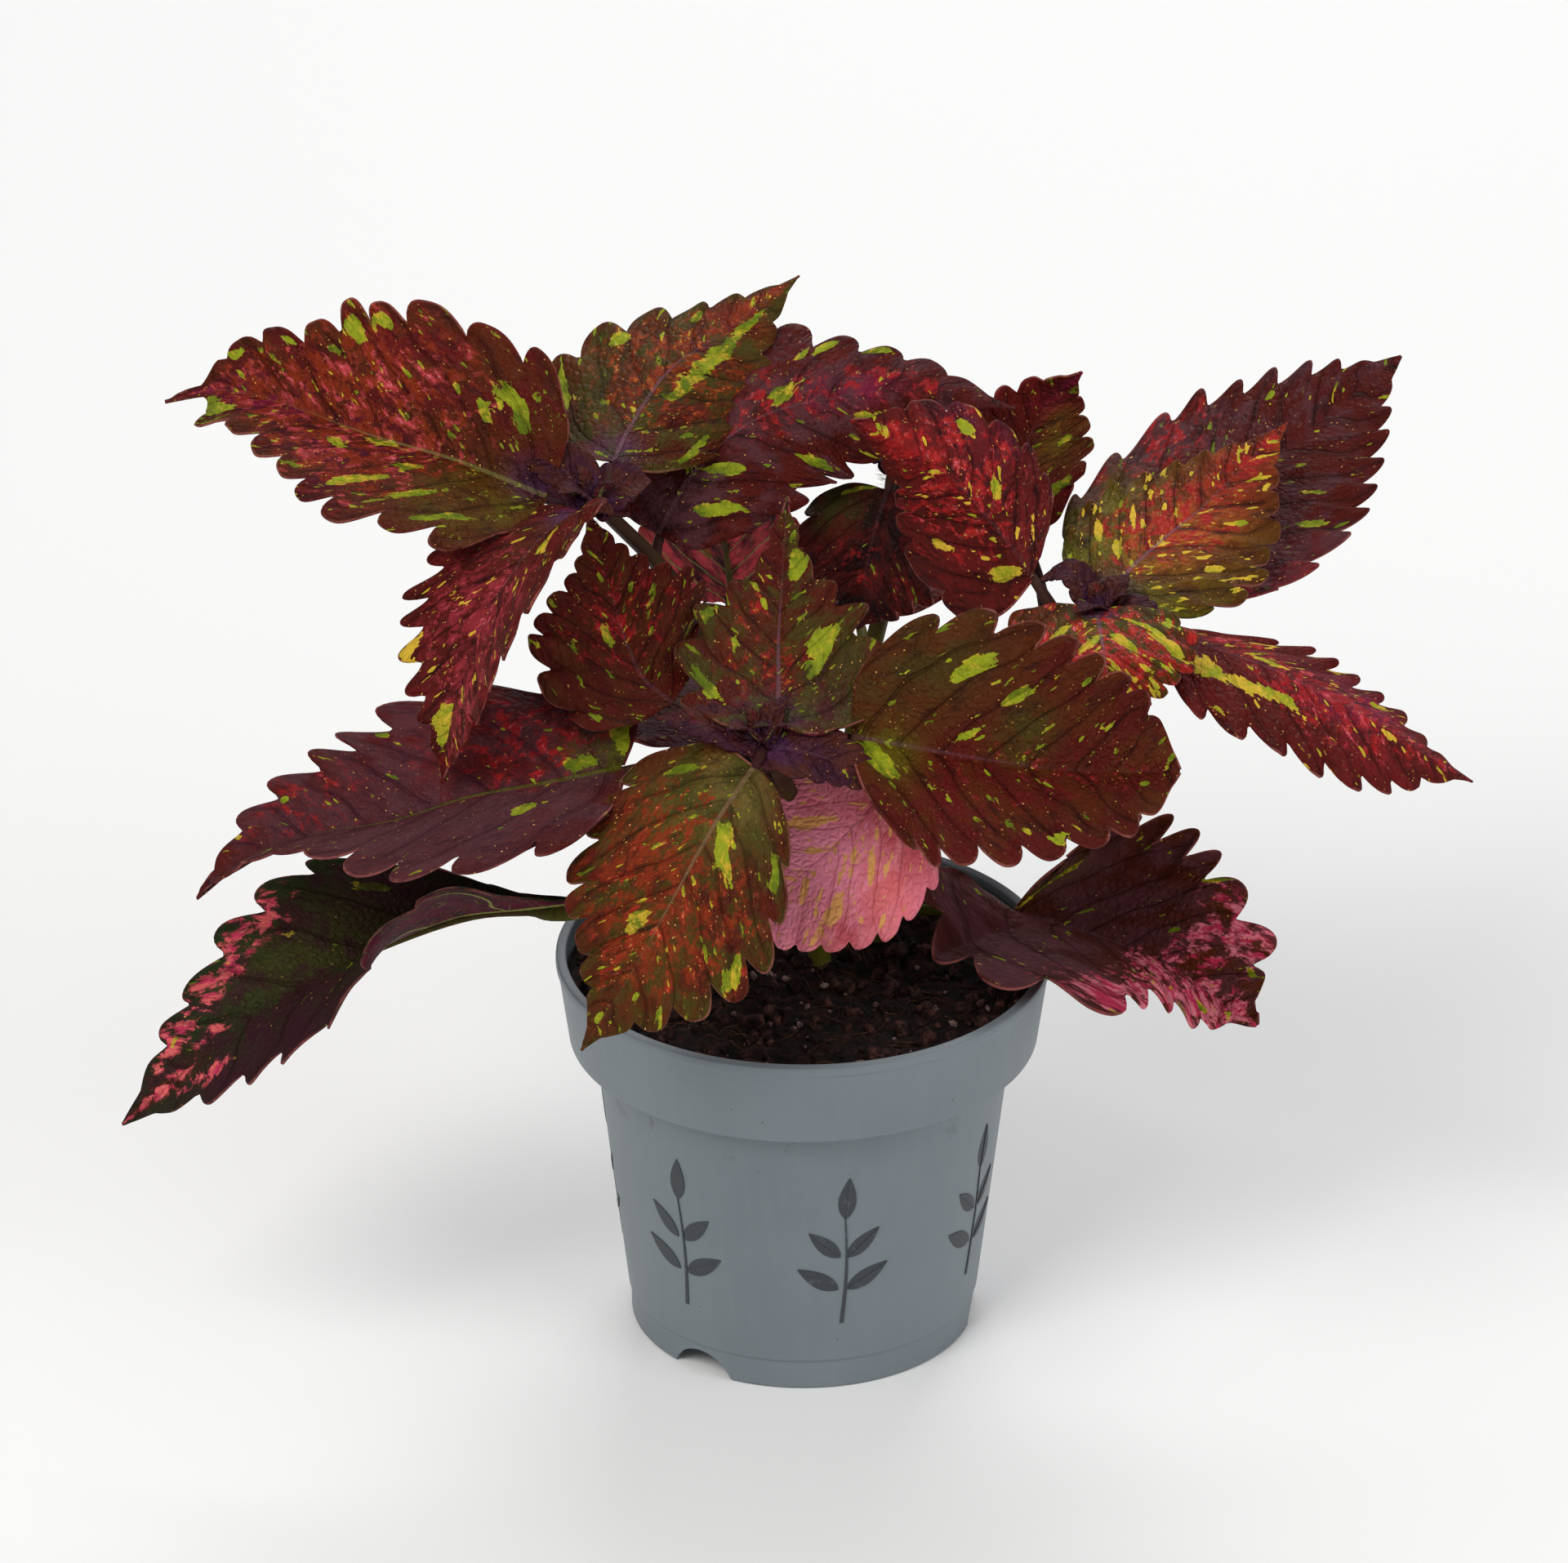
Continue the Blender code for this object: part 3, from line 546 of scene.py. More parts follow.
            teeth=9, toothDepth=0.24, toothSkew=1.3, toothRound=2.2, toothSpan=(0.003, 0.93),
            toothPack=0.6,
            right=(1, 1.1, 1.35, 1.3, 1.1, 1, 1, 1, 1, 1, 1),
            ground="brown", second="dusky", dark=0.3, gloss=0.04,
            zones=((0.05, 0.5, 0.07, "olive", 4), (0.3, 0.4, 0.3, "plum", 1),
                   (0.15, -0.6, 0.25, "plum", 3)),
            flush=((0.36, -0.8, 0.12, 1.4), (0.55, -0.8, 0.18, 2.5), (0.78, -0.6, 0.22, 4),
                   (0.92, 0, 0.16, 2), (0.66, 0.8, 0.16, 1.2), (0.5, -0.2, 0.1, 1.2),
                   (0.62, 0.3, 0.1, 1)),
            flushTone="pink", deepTone="hotPink", glow=0.44,
            patches=((0.76, -0.55, 0.06, 0.2), (0.8, 0.75, 0.04, 0.12), (0.04, 0.4, 0.03, 0.3),
                     (0.6, -0.6, 0.02, 0.1), (0.88, -0.3, 0.02, 0.1), (0.5, 0.9, 0.03, 0.1)),
            splash=0.4, specks=0.3),
    },
    "leafy_stem_right": {
        "left": dict(
            at=0.9,
            midrib=[(54, -4, 200), (47, 6, 206), (36, 15, 216), (24, 22, 222), (11, 26, 227)],
            width=54, roll=(37, 42), fold=(-29, -26), droop=1, tail=0.7, lobes=(-0.9, 0.1),
            teeth=6,
            right=(0.8, 0.8, 0.8, 0.9, 1.1, 1.25, 1.2),
            left=(1, 1, 0.95, 0.9, 0.85, 0.8, 0.75, 0.75, 0.8, 0.9, 1),
            ground="maroon", second="wine", dark=0.8, rib=0.1,
            zones=((0.5, -0.95, 0.2, "grape", 3), (0.8, 0, 0.2, "crimson", 2)),
            flush=((0.5, 0, 0.4, 1.1), (0.9, 0, 0.2, 0.8)),
            flushTone="red", glow=0.47,
            patches=((0.1, 0.25, 0.06, 0.25), (0.3, 0.6, 0.03, 0.12), (0.55, -0.7, 0.05, 0.14),
                     (0.35, -0.3, 0.04, 0.1)),
            splash=0.44, specks=0.8, splashShade="yellow"),
        "right": dict(
            at=0.98,
            midrib=[(70, -6, 195), (76, 2, 198), (85, 12, 202), (95, 22, 206), (106, 32, 213),
                    (116, 40, 220)],
            width=50, roll=(-10, -10), fold=(-8, -5), droop=1, tail=0.7, lobes=(-0.1, -0.3),
            ground="olive", second="brown", dark=0.75, rib=0.6,
            zones=((0.02, 0, 0.12, "violet", 3), (0.4, -0.1, 0.2, "orange", 4),
                   (0.9, 0, 0.34, "crimson", 12), (0.5, 0.95, 0.2, "maroon", 1.5),
                   (0.6, -1, 0.25, "maroon", 2), (0.3, -0.9, 0.2, "brown", 2)),
            flush=((0.35, 0.2, 0.25, 1), (0.5, 0, 0.22, 1.1), (0.88, 0, 0.22, 1.3)),
            flushTone="orange", sparkTone="peach", glow=0.54,
            patches=((0.2, 0.6, 0.03, 0.2), (0.33, 0.45, 0.02, 0.24), (0.8, 0.5, 0.04, 0.12),
                     (0.2, 0.3, 0.03, 0.15), (0.72, -0.8, 0.03, 0.14), (0.3, -0.6, 0.03, 0.1)),
            splash=0.45, specks=1.15, splashShade="yellow"),
        "back": dict(
            at=0.88,
            midrib=[(81, 22, 191), (92, 34, 194), (108, 48, 202), (126, 60, 212), (145, 70, 224)],
            width=62, roll=(-12, -12), fold=(0, 0), droop=1, tail=0.5, lobes=(0.1, 0.6),
            teeth=9, toothDepth=0.11, toothSkew=1.5, toothRound=2.2, lean=0.5,
            ground="maroon", second="dusky", dark=0.7, rib=0.1,
            zones=((0.1, 0.75, 0.13, "olive", 5), (0.08, -0.8, 0.16, "rosewood", 6)),
            flush=((0.3, 0.8, 0.2, 0.5),),
            patches=((0.05, 0.8, 0.05, 0.3), (0.45, -0.5, 0.02, 0.16), (0.35, -0.75, 0.02, 0.14),
                     (0.6, 0.7, 0.03, 0.1)),
            splash=0.38, specks=0.6),
        "low_right": dict(
            at=0.93,
            midrib=[(86, -14, 191), (98, -20, 189), (112, -26, 186), (123, -29, 181),
                    (135, -31, 175), (148, -32, 166), (158, -30, 159)],
            width=44, roll=(-4, -6), fold=(-16, -12), droop=1, lobes=(-0.2, -0.4),
            toothDepth=0.22, toothSkew=1.25, toothRound=2.8,
            right=(1, 1, 1, 1, 1.05, 1.2, 1.35, 1.45, 1.35, 1.2, 1),
            ground="wine", second="maroon", rib=0.15,
            zones=((0.55, 0.3, 0.2, "magenta", 2), (0.3, -0.8, 0.2, "maroon", 3),
                   (0.02, 0, 0.08, "violet", 3)),
            flush=((0.15, 0.3, 0.15, 0.9), (0.45, -0.1, 0.2, 0.8), (0.65, 0.1, 0.3, 0.8),
                   (0.92, 0, 0.15, 1.2)),
            flushTone="rose",
            patches=((0.26, -0.36, 0.3, 0.15), (0.3, 0.12, 0.1, 0.06), (0.62, 0.7, 0.04, 0.2),
                     (0.4, 0.9, 0.04, 0.14), (0.7, -0.1, 0.05, 0.1)),
            splash=0.45, specks=0.8, splashShade="yellow"),
        "front": dict(
            at=0.98, midrib=[(69, -14, 196), (70, -28, 194), (71, -36, 189), (72, -40, 178)],
            width=44, roll=(-5, -5), fold=(0, 0), droop=3, tail=0.4, lobes=(0.8, 0.2),
            ground="brown", second="moss", dark=0.4, rib=0.6,
            zones=((0.02, 0, 0.12, "violet", 6), (0.2, 0, 0.14, "olive", 3),
                   (0.8, 0, 0.4, "wine", 4), (0.75, 0, 0.3, "rust", 5)),
            flush=((0.5, 0, 0.6, 1.2),),
            flushTone="red", glow=0.42,
            patches=((0.25, -0.5, 0.06, 0.3), (0.35, 0.25, 0.05, 0.2), (0.3, 0.7, 0.05, 0.3),
                     (0.35, -0.15, 0.05, 0.2), (0.7, 0.6, 0.06, 0.12), (0.2, 0.5, 0.03, 0.3),
                     (0.6, -0.5, 0.05, 0.2), (0.6, 0.2, 0.04, 0.1)),
            splash=0.65, specks=1.3, splashTone="yellow", splashShade="lime"),
        "upper": dict(
            at=0.8,
            midrib=[(54, 44, 189), (51, 50, 196), (54, 55, 207), (60, 57, 219), (67, 53, 227)],
            width=36, droop=1,
            teeth=6,
            ground="wine", second="maroon",
            zones=((0.97, 0, 0.2, "magenta", 5), (0.2, 0.5, 0.2, "olive", 3),
                   (0.5, -0.6, 0.2, "olive", 2)),
            patches=((0.2, -0.6, 0.08, 0.3), (0.5, -0.6, 0.05, 0.2)),
            splash=0.45, specks=0.7),
    },
    "leafy_stem_back": {
        "front": dict(
            at=0.98, midrib=[(20, 36, 204), (17, 30, 196), (15, 28, 186), (13, 29, 170)],
            width=40, tail=0.5,
            teeth=6,
            ground="blackRed", second="maroon", rib=0.1,
            zones=((0.15, -0.6, 0.15, "moss", 2),),
            flush=((0.5, 0, 0.5, 0.25),),
            patches=((0.04, -0.5, 0.04, 0.4),),
            splash=0.1, specks=0.3),
        "left": dict(
            at=0.75, midrib=[(-17, 50, 167), (-18, 44, 180), (-20, 40, 196), (-23, 40, 211)],
            width=42, droop=1,
            ground="rosewood", second="magenta", underTone="rose",
            patches=((0.4, -0.4, 0.05, 0.3),),
            splash=0.4),
        "back_right": dict(
            at=0.4, midrib=[(22, 54, 134), (34, 64, 136), (48, 76, 131), (62, 90, 116)],
            width=56, fold=(-5, -8),
            ground="maroon", second="olive",
            flush=((0.5, 0, 0.4, 0.7),),
            patches=((0.3, 0.4, 0.04, 0.25), (0.5, -0.5, 0.04, 0.2))),
        "back_left": dict(
            at=0.4, midrib=[(-8, 54, 132), (-24, 64, 136), (-42, 74, 131), (-62, 84, 116)],
            width=56, fold=(-5, -8),
            ground="plum", second="maroon",
            flush=((0.7, 0, 0.4, 0.8),),
            flushTone="rose",
            patches=((0.4, -0.4, 0.04, 0.25),)),
        "back": dict(
            at=0.6, midrib=[(14, 60, 158), (12, 76, 160), (8, 94, 152), (4, 110, 134)],
            width=54, fold=(5, 0),
            ground="wine", second="brown",
            flush=((0.5, 0, 0.4, 0.8),),
            patches=((0.4, 0.4, 0.04, 0.3), (0.3, -0.5, 0.04, 0.2)),
            splash=0.55),
    },
}


def halfWidth(u, tail):  # of a leaf 1 wide; the tail draws its outer part in
    if not 0 < u < 1:
        return 0
    return sin(pi * u**0.5) ** 0.7 * (1 - tail * max((u - 0.35) / 0.65, 0) ** 1.6)


def bladeAxes(rows, leaf, u):
    point, direction, side = placeOn(rows, u)
    roll, up = radians(along(leaf["roll"], u)), side.cross(direction)
    return point, direction, side * cos(roll) + up * sin(roll), up * cos(roll) - side * sin(roll)


def zoneSum(zones, u, v):  # how strongly each place belongs to each zone
    return [zone[-1] * exp(-2 * ((u - zone[0]) ** 2 + ((v - zone[1]) * 0.36) ** 2) / zone[2] ** 2)
            for zone in zones]


def groundTone(leaf, u, v):
    mixed, total = Vector(tone(leaf["ground"])), 1.0
    for zone, share in zip(leaf["zones"], zoneSum(leaf["zones"], u, v)):
        mixed += Vector(tone(zone[3])) * share
        total += share
    return mixed / total


def patchField(leaf, length, u, v):  # patches follow the side veins
    field = 0.0
    across = leaf["width"] / 2 * halfWidth(u, leaf["tail"])
    for pu, pv, long, wide in leaf["patches"]:
        if (pv < 0) == (v < 0):
            drift = leaf["veinSweep"] * across * (abs(v) - abs(pv)) / length
            field = max(field, 1 - (((u - pu - drift) / long) ** 2 + ((v - pv) / wide) ** 2) ** 0.5)
    return field


def bladePiece(name, given, seed):
    leaf = {**blade, **given}
    rows = tracePath(leaf["midrib"])
    length, widest = rows[-1][0], leaf["width"] / 2
    first, last = (place ** leaf["toothPack"] for place in leaf["toothSpan"])
    step = (last - first) / leaf["teeth"]
    alongCount, acrossCount = leaf["fineRows"] * leaf["teeth"], leaf["columns"]
    axes, spots = {}, []

    def place(s, t):  # u runs from base to tip, v from the right rim to the left one
        u, v = s ** leaf["crowding"], 2 * t - 1
        row = round(s, 5)
        if row not in axes:
            axes[row] = bladeAxes(rows, leaf, u)
        point, direction, side, up = axes[row]
        outer = abs(v)
        reached = u ** leaf["toothPack"]
        tooth = min(max((reached - first) / step, 0), leaf["teeth"] - 0.0001)
        notch = abs(2 * (tooth % 1.0) ** leaf["toothSkew"] - 1) ** leaf["toothRound"]
        notch = notch if first < reached < last else 1.0  # 0 at the crown of a tooth, 1 between two
        spread = 0.5 * noise.noise(Vector((floor(tooth) * 1.37, 3.1 if v < 0 else 7.7, seed * 2.3)))
        full = widest * halfWidth(u, leaf["tail"]) * along(leaf["right" if v < 0 else "left"], u)
        margin = 1 + leaf["toothDepth"] * outer**4 * (spread * (1 - notch) - notch)
        reach = outer * max(full * margin, 0.3 + 0.5 * (1 - u))
        fold = radians(along(leaf["fold"], u))
        outward = side if v < 0 else -side
        back = leaf["lobes"][0 if v < 0 else 1]
        grown, size = min(u / leaf["lobeSpan"], 1), min(1, full / leaf["fullSize"])
        ahead = reach * (leaf["sweep"] * grown - back * (1 - grown)) * min(1, 4 * (1 - u))
        ahead += leaf["lean"] * step * length * (1 - notch) * outer**5 * size * min(1, 5 * (1 - u))
        behind = u - leaf["veinSweep"] * (1 + 0.25 * outer) * reach / length
        bends = noise.noise(Vector((behind * 9, 1 if v < 0 else 5, seed)))
        bends += 0.8 * noise.noise(Vector((u * 11, v * 2.5, seed + 40)))
        count = behind / leaf["veinStep"] + 0.4 + 0.25 * bends
        groove = abs(sin(pi * (count + 0.5)))  # a side vein at each half
        raised = leaf["puff"] * size * groove * min(1, 3 * outer) * (1 - outer**4)
        raised -= leaf["ribGroove"] * exp(-((reach / leaf["ribGrooveWidth"]) ** 2)) * (1 - u)
        raised += leaf["ripple"] * size * outer**3 * sin(2 * pi * tooth + seed)
        raised += leaf["wave"] * size * outer**1.3 * noise.noise(Vector((u * 3.2, v * 1.3, seed * 1.7)))
        flat, lift = outward * cos(fold) + up * sin(fold), up * cos(fold) - outward * sin(fold)
        fromRib = reach if v > 0 else -reach
        spots.append((u, v, (length * u - leaf["veinSweep"] * reach) / 10, fromRib / 10, count))
        return (point + flat * reach + lift * raised + direction * ahead
                - up * leaf["droop"] * (reach / widest) ** 2)

    piece = shapedGrid(name, alongCount, acrossCount, place)
    mesh = piece.data
    for key, kind in (("leafSpace", "FLOAT_VECTOR"), ("marks", "FLOAT_VECTOR"), ("ground", "FLOAT_COLOR")):
        mesh.attributes.new(key, kind, "POINT")
    space, marks, ground = (mesh.attributes[key] for key in ("leafSpace", "marks", "ground"))
    for i, (u, v, x, y, count) in enumerate(spots):
        space.data[i].vector = (x, y, count)
        flush = min(sum(zoneSum(leaf["flush"], u, v)), 1.2)
        marks.data[i].vector = (patchField(leaf, length, u, v), flush, abs(v))
        ground.data[i].color = (*groundTone(leaf, u, v), 1)
    mesh.materials.append(leafTop(f"{name}_top", leaf, seed))
    mesh.materials.append(leafUnder(f"{name}_under", leaf, seed))
    applyModifier(piece, "SOLIDIFY", thickness=leaf["thickness"] * mm, offset=-1, material_offset=1)
    bpy.ops.object.shade_smooth()
    return piece


# how fine each mark of the leaf's skin is: noise or cells to a centimetre
skinScale = dict(cloud=1.1, mottle=3.4, grain=11, blotch=2.9, clearing=4.2, splashCell=7.0, splash=2.1,
                 speck=5.2, dotCell=20, netCell=6, hair=9, underCloud=2.0, underNet=4.2)
skinDepth = dict(top=0.0006, under=0.0005, strength=0.8)  # metres


# the shade beside the side veins is painted shade, darkest in the grooves next to each vein
def veinMasks(tree, x, y, count, outer, length):  # side veins, the shade beside them, and the midrib
    beside = minus(tree, calc(tree, "FRACT", plus(tree, count, 50.0)), 0.5)
    beside = calc(tree, "ABSOLUTE", beside)
    fading = ease(tree, outer, 0.6, 1.0, 1, 0.3)
    sideVein = times(tree, ease(tree, beside, 0.015, 0.045, 1, 0), fading)
    # painted shade in the groove beside each side vein
    shade = ease(tree, beside, 0.03, 0.22, 1, 0)
    wide = ease(tree, x, 0, length * 0.7, 0.085, 0.03)
    midrib = ease(tree, calc(tree, "DIVIDE", calc(tree, "ABSOLUTE", y), wide), 0.55, 1.0, 1, 0)
    midrib = times(tree, midrib, ease(tree, x, length * 0.3, length * 0.8, 1, 0.15))
    return sideVein, shade, midrib


def leafTop(name, leaf, seed):
    material, tree, shader = newMaterial(name)
    x, y, count = separate(tree, readAttribute(tree, "leafSpace"))  # centimetres along and across
    patch, flush, outer = separate(tree, readAttribute(tree, "marks"))
    ahead = plus(tree, x, times(tree, calc(tree, "ABSOLUTE", y), leaf["veinSweep"]))
    flat = combine(tree, ahead, y, seed * 3.1)
    drawn = combine(tree, x, times(tree, y, 0.65), seed * 2.7)  # a little longer along the veins
    length = tracePath(leaf["midrib"])[-1][0] / 10
    sideVein, shade, midrib = veinMasks(tree, x, y, count, outer, length)
    # ground tones
    cloud = noiseAt(tree, flat, skinScale["cloud"], 4, 0.65)
    mottle = noiseAt(tree, drawn, skinScale["mottle"], 6, 0.7)
    grain = noiseAt(tree, flat, skinScale["grain"], 4, 0.65)
    colour = readAttribute(tree, "ground", "Color")
    colour = mixTone(tree, ease(tree, cloud, 0.42, 0.6, 0, 0.75), colour, leaf["second"])
    # the mottled tone: deep blotches, a brighter tone in them, and sparks in that
    blotch = noiseAt(tree, flat, skinScale["blotch"], 6, 0.7, 0.4)
    flushMask = ease(tree, plus(tree, blotch, times(tree, flush, 0.11)), 0.54, 0.66)
    flushMask = times(tree, flushMask, ease(tree, flush, 0.04, 0.4))
    clearing = noiseAt(tree, drawn, skinScale["clearing"], 5, 0.65)
    bright = times(tree, ease(tree, clearing, leaf["glow"], leaf["glow"] + 0.12), flushMask)
    spark = times(tree, bright, ease(tree, grain, 0.52, 0.66, 0, 0.7))
    colour = mixTone(tree, times(tree, flushMask, 0.85), colour, leaf["deepTone"])
    colour = mixTone(tree, times(tree, bright, 0.85), colour, leaf["flushTone"])
    colour = mixTone(tree, spark, colour, leaf["sparkTone"])
    colour = mixTone(tree, ease(tree, mottle, 0.48, 0.68, 0, leaf["dark"]), colour, leaf["veinTone"])
    # painted shade beside the side veins, mixed towards the vein tone
    colour = mixTone(tree, times(tree, shade, 0.36 * leaf["dark"]), colour, leaf["veinTone"])
    # pale splashes with stepped edges: the noise is read at the middle of small angular fields
    _, uneven, middle = cellOutputs(tree, drawn, skinScale["splashCell"])
    stepped = between(tree, 0.5, middle, drawn)
    value = plus(tree, noiseAt(tree, stepped, skinScale["splash"], 3, 0.6), times(tree, patch, 0.52))
    value = plus(tree, value, times(tree, uneven, 0.1))
    value = plus(tree, value, times(tree, grain, 0.24))
    limit = 0.96 - 0.2 * leaf["splash"]
    splash = ease(tree, value, limit - 0.006, limit + 0.006)
    # specks, more of them where the cloud is bright
    sown = 0.72 - 0.07 * leaf["specks"]
    sown = ease(tree, cloud, 0.35, 0.65, sown + 0.03, sown)
    speck = calc(tree, "GREATER_THAN", noiseAt(tree, stepped, skinScale["speck"], 2, 0.5), sown)
    splash = calc(tree, "MAXIMUM", splash, speck)
    pale = mixTone(tree, ease(tree, cloud, 0.38, 0.6), leaf["splashTone"], leaf["splashShade"])
    warm = ease(tree, plus(tree, blotch, times(tree, flush, 0.1)), 0.54, 0.66, 0, 0.7)
    pale = mixTone(tree, warm, pale, leaf["warmTone"])
    colour = mixTone(tree, times(tree, splash, 0.94), colour, pale)
    # tiny dots in a few cells
    dots, lucky, _ = cellOutputs(tree, flat, skinScale["dotCell"])
    dots = calc(tree, "LESS_THAN", dots, ease(tree, lucky, 1 - 0.1 * leaf["specks"], 1, 0, 0.42))
    dots = times(tree, dots, ease(tree, mottle, 0.42, 0.58, 0.06, 0.85))
    colour = mixTone(tree, dots, colour, "peach")
    # veins, net and rim
    crooked = between(tree, 0.1, flat, combine(tree, cloud, grain, mottle))
    inside = cellsAt(tree, crooked, skinScale["netCell"], "DISTANCE_TO_EDGE")
    veined = minus(tree, 1.0, times(tree, splash, 0.6))
    net = times(tree, ease(tree, inside, 0.0, 0.08, 1, 0), veined)
    colour = mixTone(tree, times(tree, net, leaf["net"]), colour, leaf["veinTone"])
    colour = mixTone(tree, times(tree, times(tree, sideVein, veined), 0.3), colour, leaf["veinTone"])
    colour = mixTone(tree, times(tree, midrib, leaf["rib"]), colour, leaf["ribTone"])
    patchy = ease(tree, cloud, 0.42, 0.58, 0.05, 0.55)
    rim = times(tree, ease(tree, outer, 0.982, 0.994), patchy)
    colour = mixTone(tree, rim, colour, leaf["rimTone"])
    if leaf["fuzz"]:  # short hairs lying along the veins
        lying = noiseAt(tree, combine(tree, times(tree, x, 5), y, 0.0), skinScale["hair"], 3, 0.6)
        colour = mixTone(tree, ease(tree, lying, 0.5, 0.66, 0, leaf["fuzz"]), colour, "lilac")
    tree.links.new(colour, shader.inputs["Base Color"])
    tree.links.new(ease(tree, grain, 0.2, 0.8, 0.44, 0.6), shader.inputs["Roughness"])
    shader.inputs["Specular IOR Level"].default_value = leaf["gloss"]
    height = plus(tree, times(tree, grain, 0.3), ease(tree, inside, 0, 0.32, 0, 0.7))
    height = minus(tree, height, minus(tree, sideVein, times(tree, midrib, 0.6)))
    addBump(tree, shader, height, skinDepth["top"], skinDepth["strength"])
    return material


def leafUnder(name, leaf, seed):
    material, tree, shader = newMaterial(name)
    x, y, count = separate(tree, readAttribute(tree, "leafSpace"))
    patch, _, outer = separate(tree, readAttribute(tree, "marks"))
    flat = combine(tree, x, y, seed * 3.1)
    cloud = noiseAt(tree, flat, skinScale["underCloud"], 4, 0.6)
    showing = ease(tree, plus(tree, cloud, patch), 0.72, 0.8, 0, 0.7)
    colour = mixTone(tree, ease(tree, cloud, 0.35, 0.65), "plum", leaf["underTone"])
    colour = mixTone(tree, showing, colour, "olive")
    length = tracePath(leaf["midrib"])[-1][0] / 10
    sideVein, _, midrib = veinMasks(tree, x, y, count, outer, length)
    inside = cellsAt(tree, flat, skinScale["underNet"], "DISTANCE_TO_EDGE")
    net = ease(tree, inside, 0.0, 0.08, 1, 0)
    veins = calc(tree, "MAXIMUM", sideVein, midrib)
    colour = mixTone(tree, times(tree, net, 0.2), colour, "greenVein")
    colour = mixTone(tree, times(tree, veins, 0.8), colour, "greenVein")
    tree.links.new(colour, shader.inputs["Base Color"])
    shader.inputs["Roughness"].default_value = 0.6
    shader.inputs["Specular IOR Level"].default_value = 0.12
    height = plus(tree, net, plus(tree, sideVein, midrib))
    addBump(tree, shader, height, skinDepth["under"], skinDepth["strength"])
    return material


seed = 1
for node, group in leaves.items():
    for key, given in group.items():
        seed += 1
        piece = bladePiece(f"leaf_{node[11:]}_{key}", given, seed)
        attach(piece, "root")
        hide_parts(node)
    print("leaves of", node, "done")


# stems, petioles and growing tips
shoot = dict(sideRadius=2.9, tipRadius=1.7, squareness=0.16, around=24, petioleAround=10,
             ribPlaces=(0.09, 0.2, 0.35, 0.55, 0.75, 0.9), ribRadii=(1.0, 0.85, 0.7, 0.55, 0.4, 0.3),
             sunk=0.55, tint=(0, 0, 0.15, 0.6, 0.95), petioleTint=(0.5, 0.4, 0.5, 0.6, 0.7),
             highTint=0.9, lowTint=0.15)
youngLeaves = {  # end of each young leaf seen from the tip of its stem, width, roll, height of its arch
    "leafy_stem_centre": (
        ((31, -12, -7), 17, -30, 0.05), ((-25, 4, 4), 13, 24, 0.05), ((6, 9, 7), 8, 0, 0.2),
        ((-8, -6, 6), 9, 10, 0.2), ((6, -4, 6), 6, -10, 0.2), ((-4, 5, 7), 6, 0, 0.2)),
    "leafy_stem_left": (
        ((-19, 10, 8), 15, 30, 0.15), ((14, 1, 4), 15, -30, 0.1), ((9, -6, -2), 9, -20, 0.1),
        ((-8, -6, 4), 9, 10, 0.2), ((5, -4, 6), 6, -10, 0.2), ((-4, 5, 7), 6, 0, 0.2)),
    "leafy_stem_right": (
        ((-16, 8, 4), 10, 20, 0.35), ((15, -8, -1), 13, -20, 0.1), ((6, 8, 6), 9, 0, 0.2),
        ((-7, -7, 3), 9, 0, 0.2), ((5, -3, 6), 6, -10, 0.2), ((-4, 5, 6), 6, 0, 0.2)),
    "leafy_stem_back": (
        ((-12, -8, 6), 14, 20, 0.15), ((13, 8, 5), 14, -10, 0.15), ((6, -9, 6), 9, 0, 0.2),
        ((-6, 9, 6), 9, 0, 0.2)),
}
youngSkin = dict(
    fold=(16, 8), droop=1, tail=0.3, lobes=(0.6, 0.6), teeth=6, toothDepth=0.15, ripple=0.5, puff=0.4,
    wave=1.2, thickness=0.5, veinStep=0.16, fineRows=10, columns=16, ground="plum", second="brown",
    zones=((0.05, 0, 0.25, "violet", 4),), flush=((0.7, 0, 0.3, 0.2),), splash=0.1, specks=0.3,
    rimTone="blackRed", fuzz=0.45)
hairs = dict(count=320, radius=0.06, length=2, ahead=2, behind=7, nearest=1.2, farthest=3.4, seed=7)


def stemSkin():
    material, tree, shader = newMaterial("stemSkin")
    space = objectSpace(tree)
    cloud = noiseAt(tree, space, 90, 4, 0.6)
    fine = noiseAt(tree, space, 900, 3, 0.6)
    height = separate(tree, space)[2]
    colour = mixTone(tree, ease(tree, cloud, 0.38, 0.62), "moss", "olive")
    colour = mixTone(tree, ease(tree, height, 0.085, 0.1, 0.6, 0), colour, "greenVein")
    colour = mixTone(tree, ease(tree, fine, 0.4, 0.7, 0, 0.35), colour, "leafGreen")
    tint = readAttribute(tree, "tint", "Fac")
    purple = calc(tree, "MINIMUM", times(tree, tint, ease(tree, cloud, 0.2, 0.6, 1.2, 0.8)), 1.0)
    colour = mixTone(tree, purple, mixTone(tree, purple, colour, "bark"), "plum")
    tree.links.new(colour, shader.inputs["Base Color"])
    shader.inputs["Roughness"].default_value = 0.6
    shader.inputs["Specular IOR Level"].default_value = 0.12
    addBump(tree, shader, fine, 0.0003, 0.5)
    return material


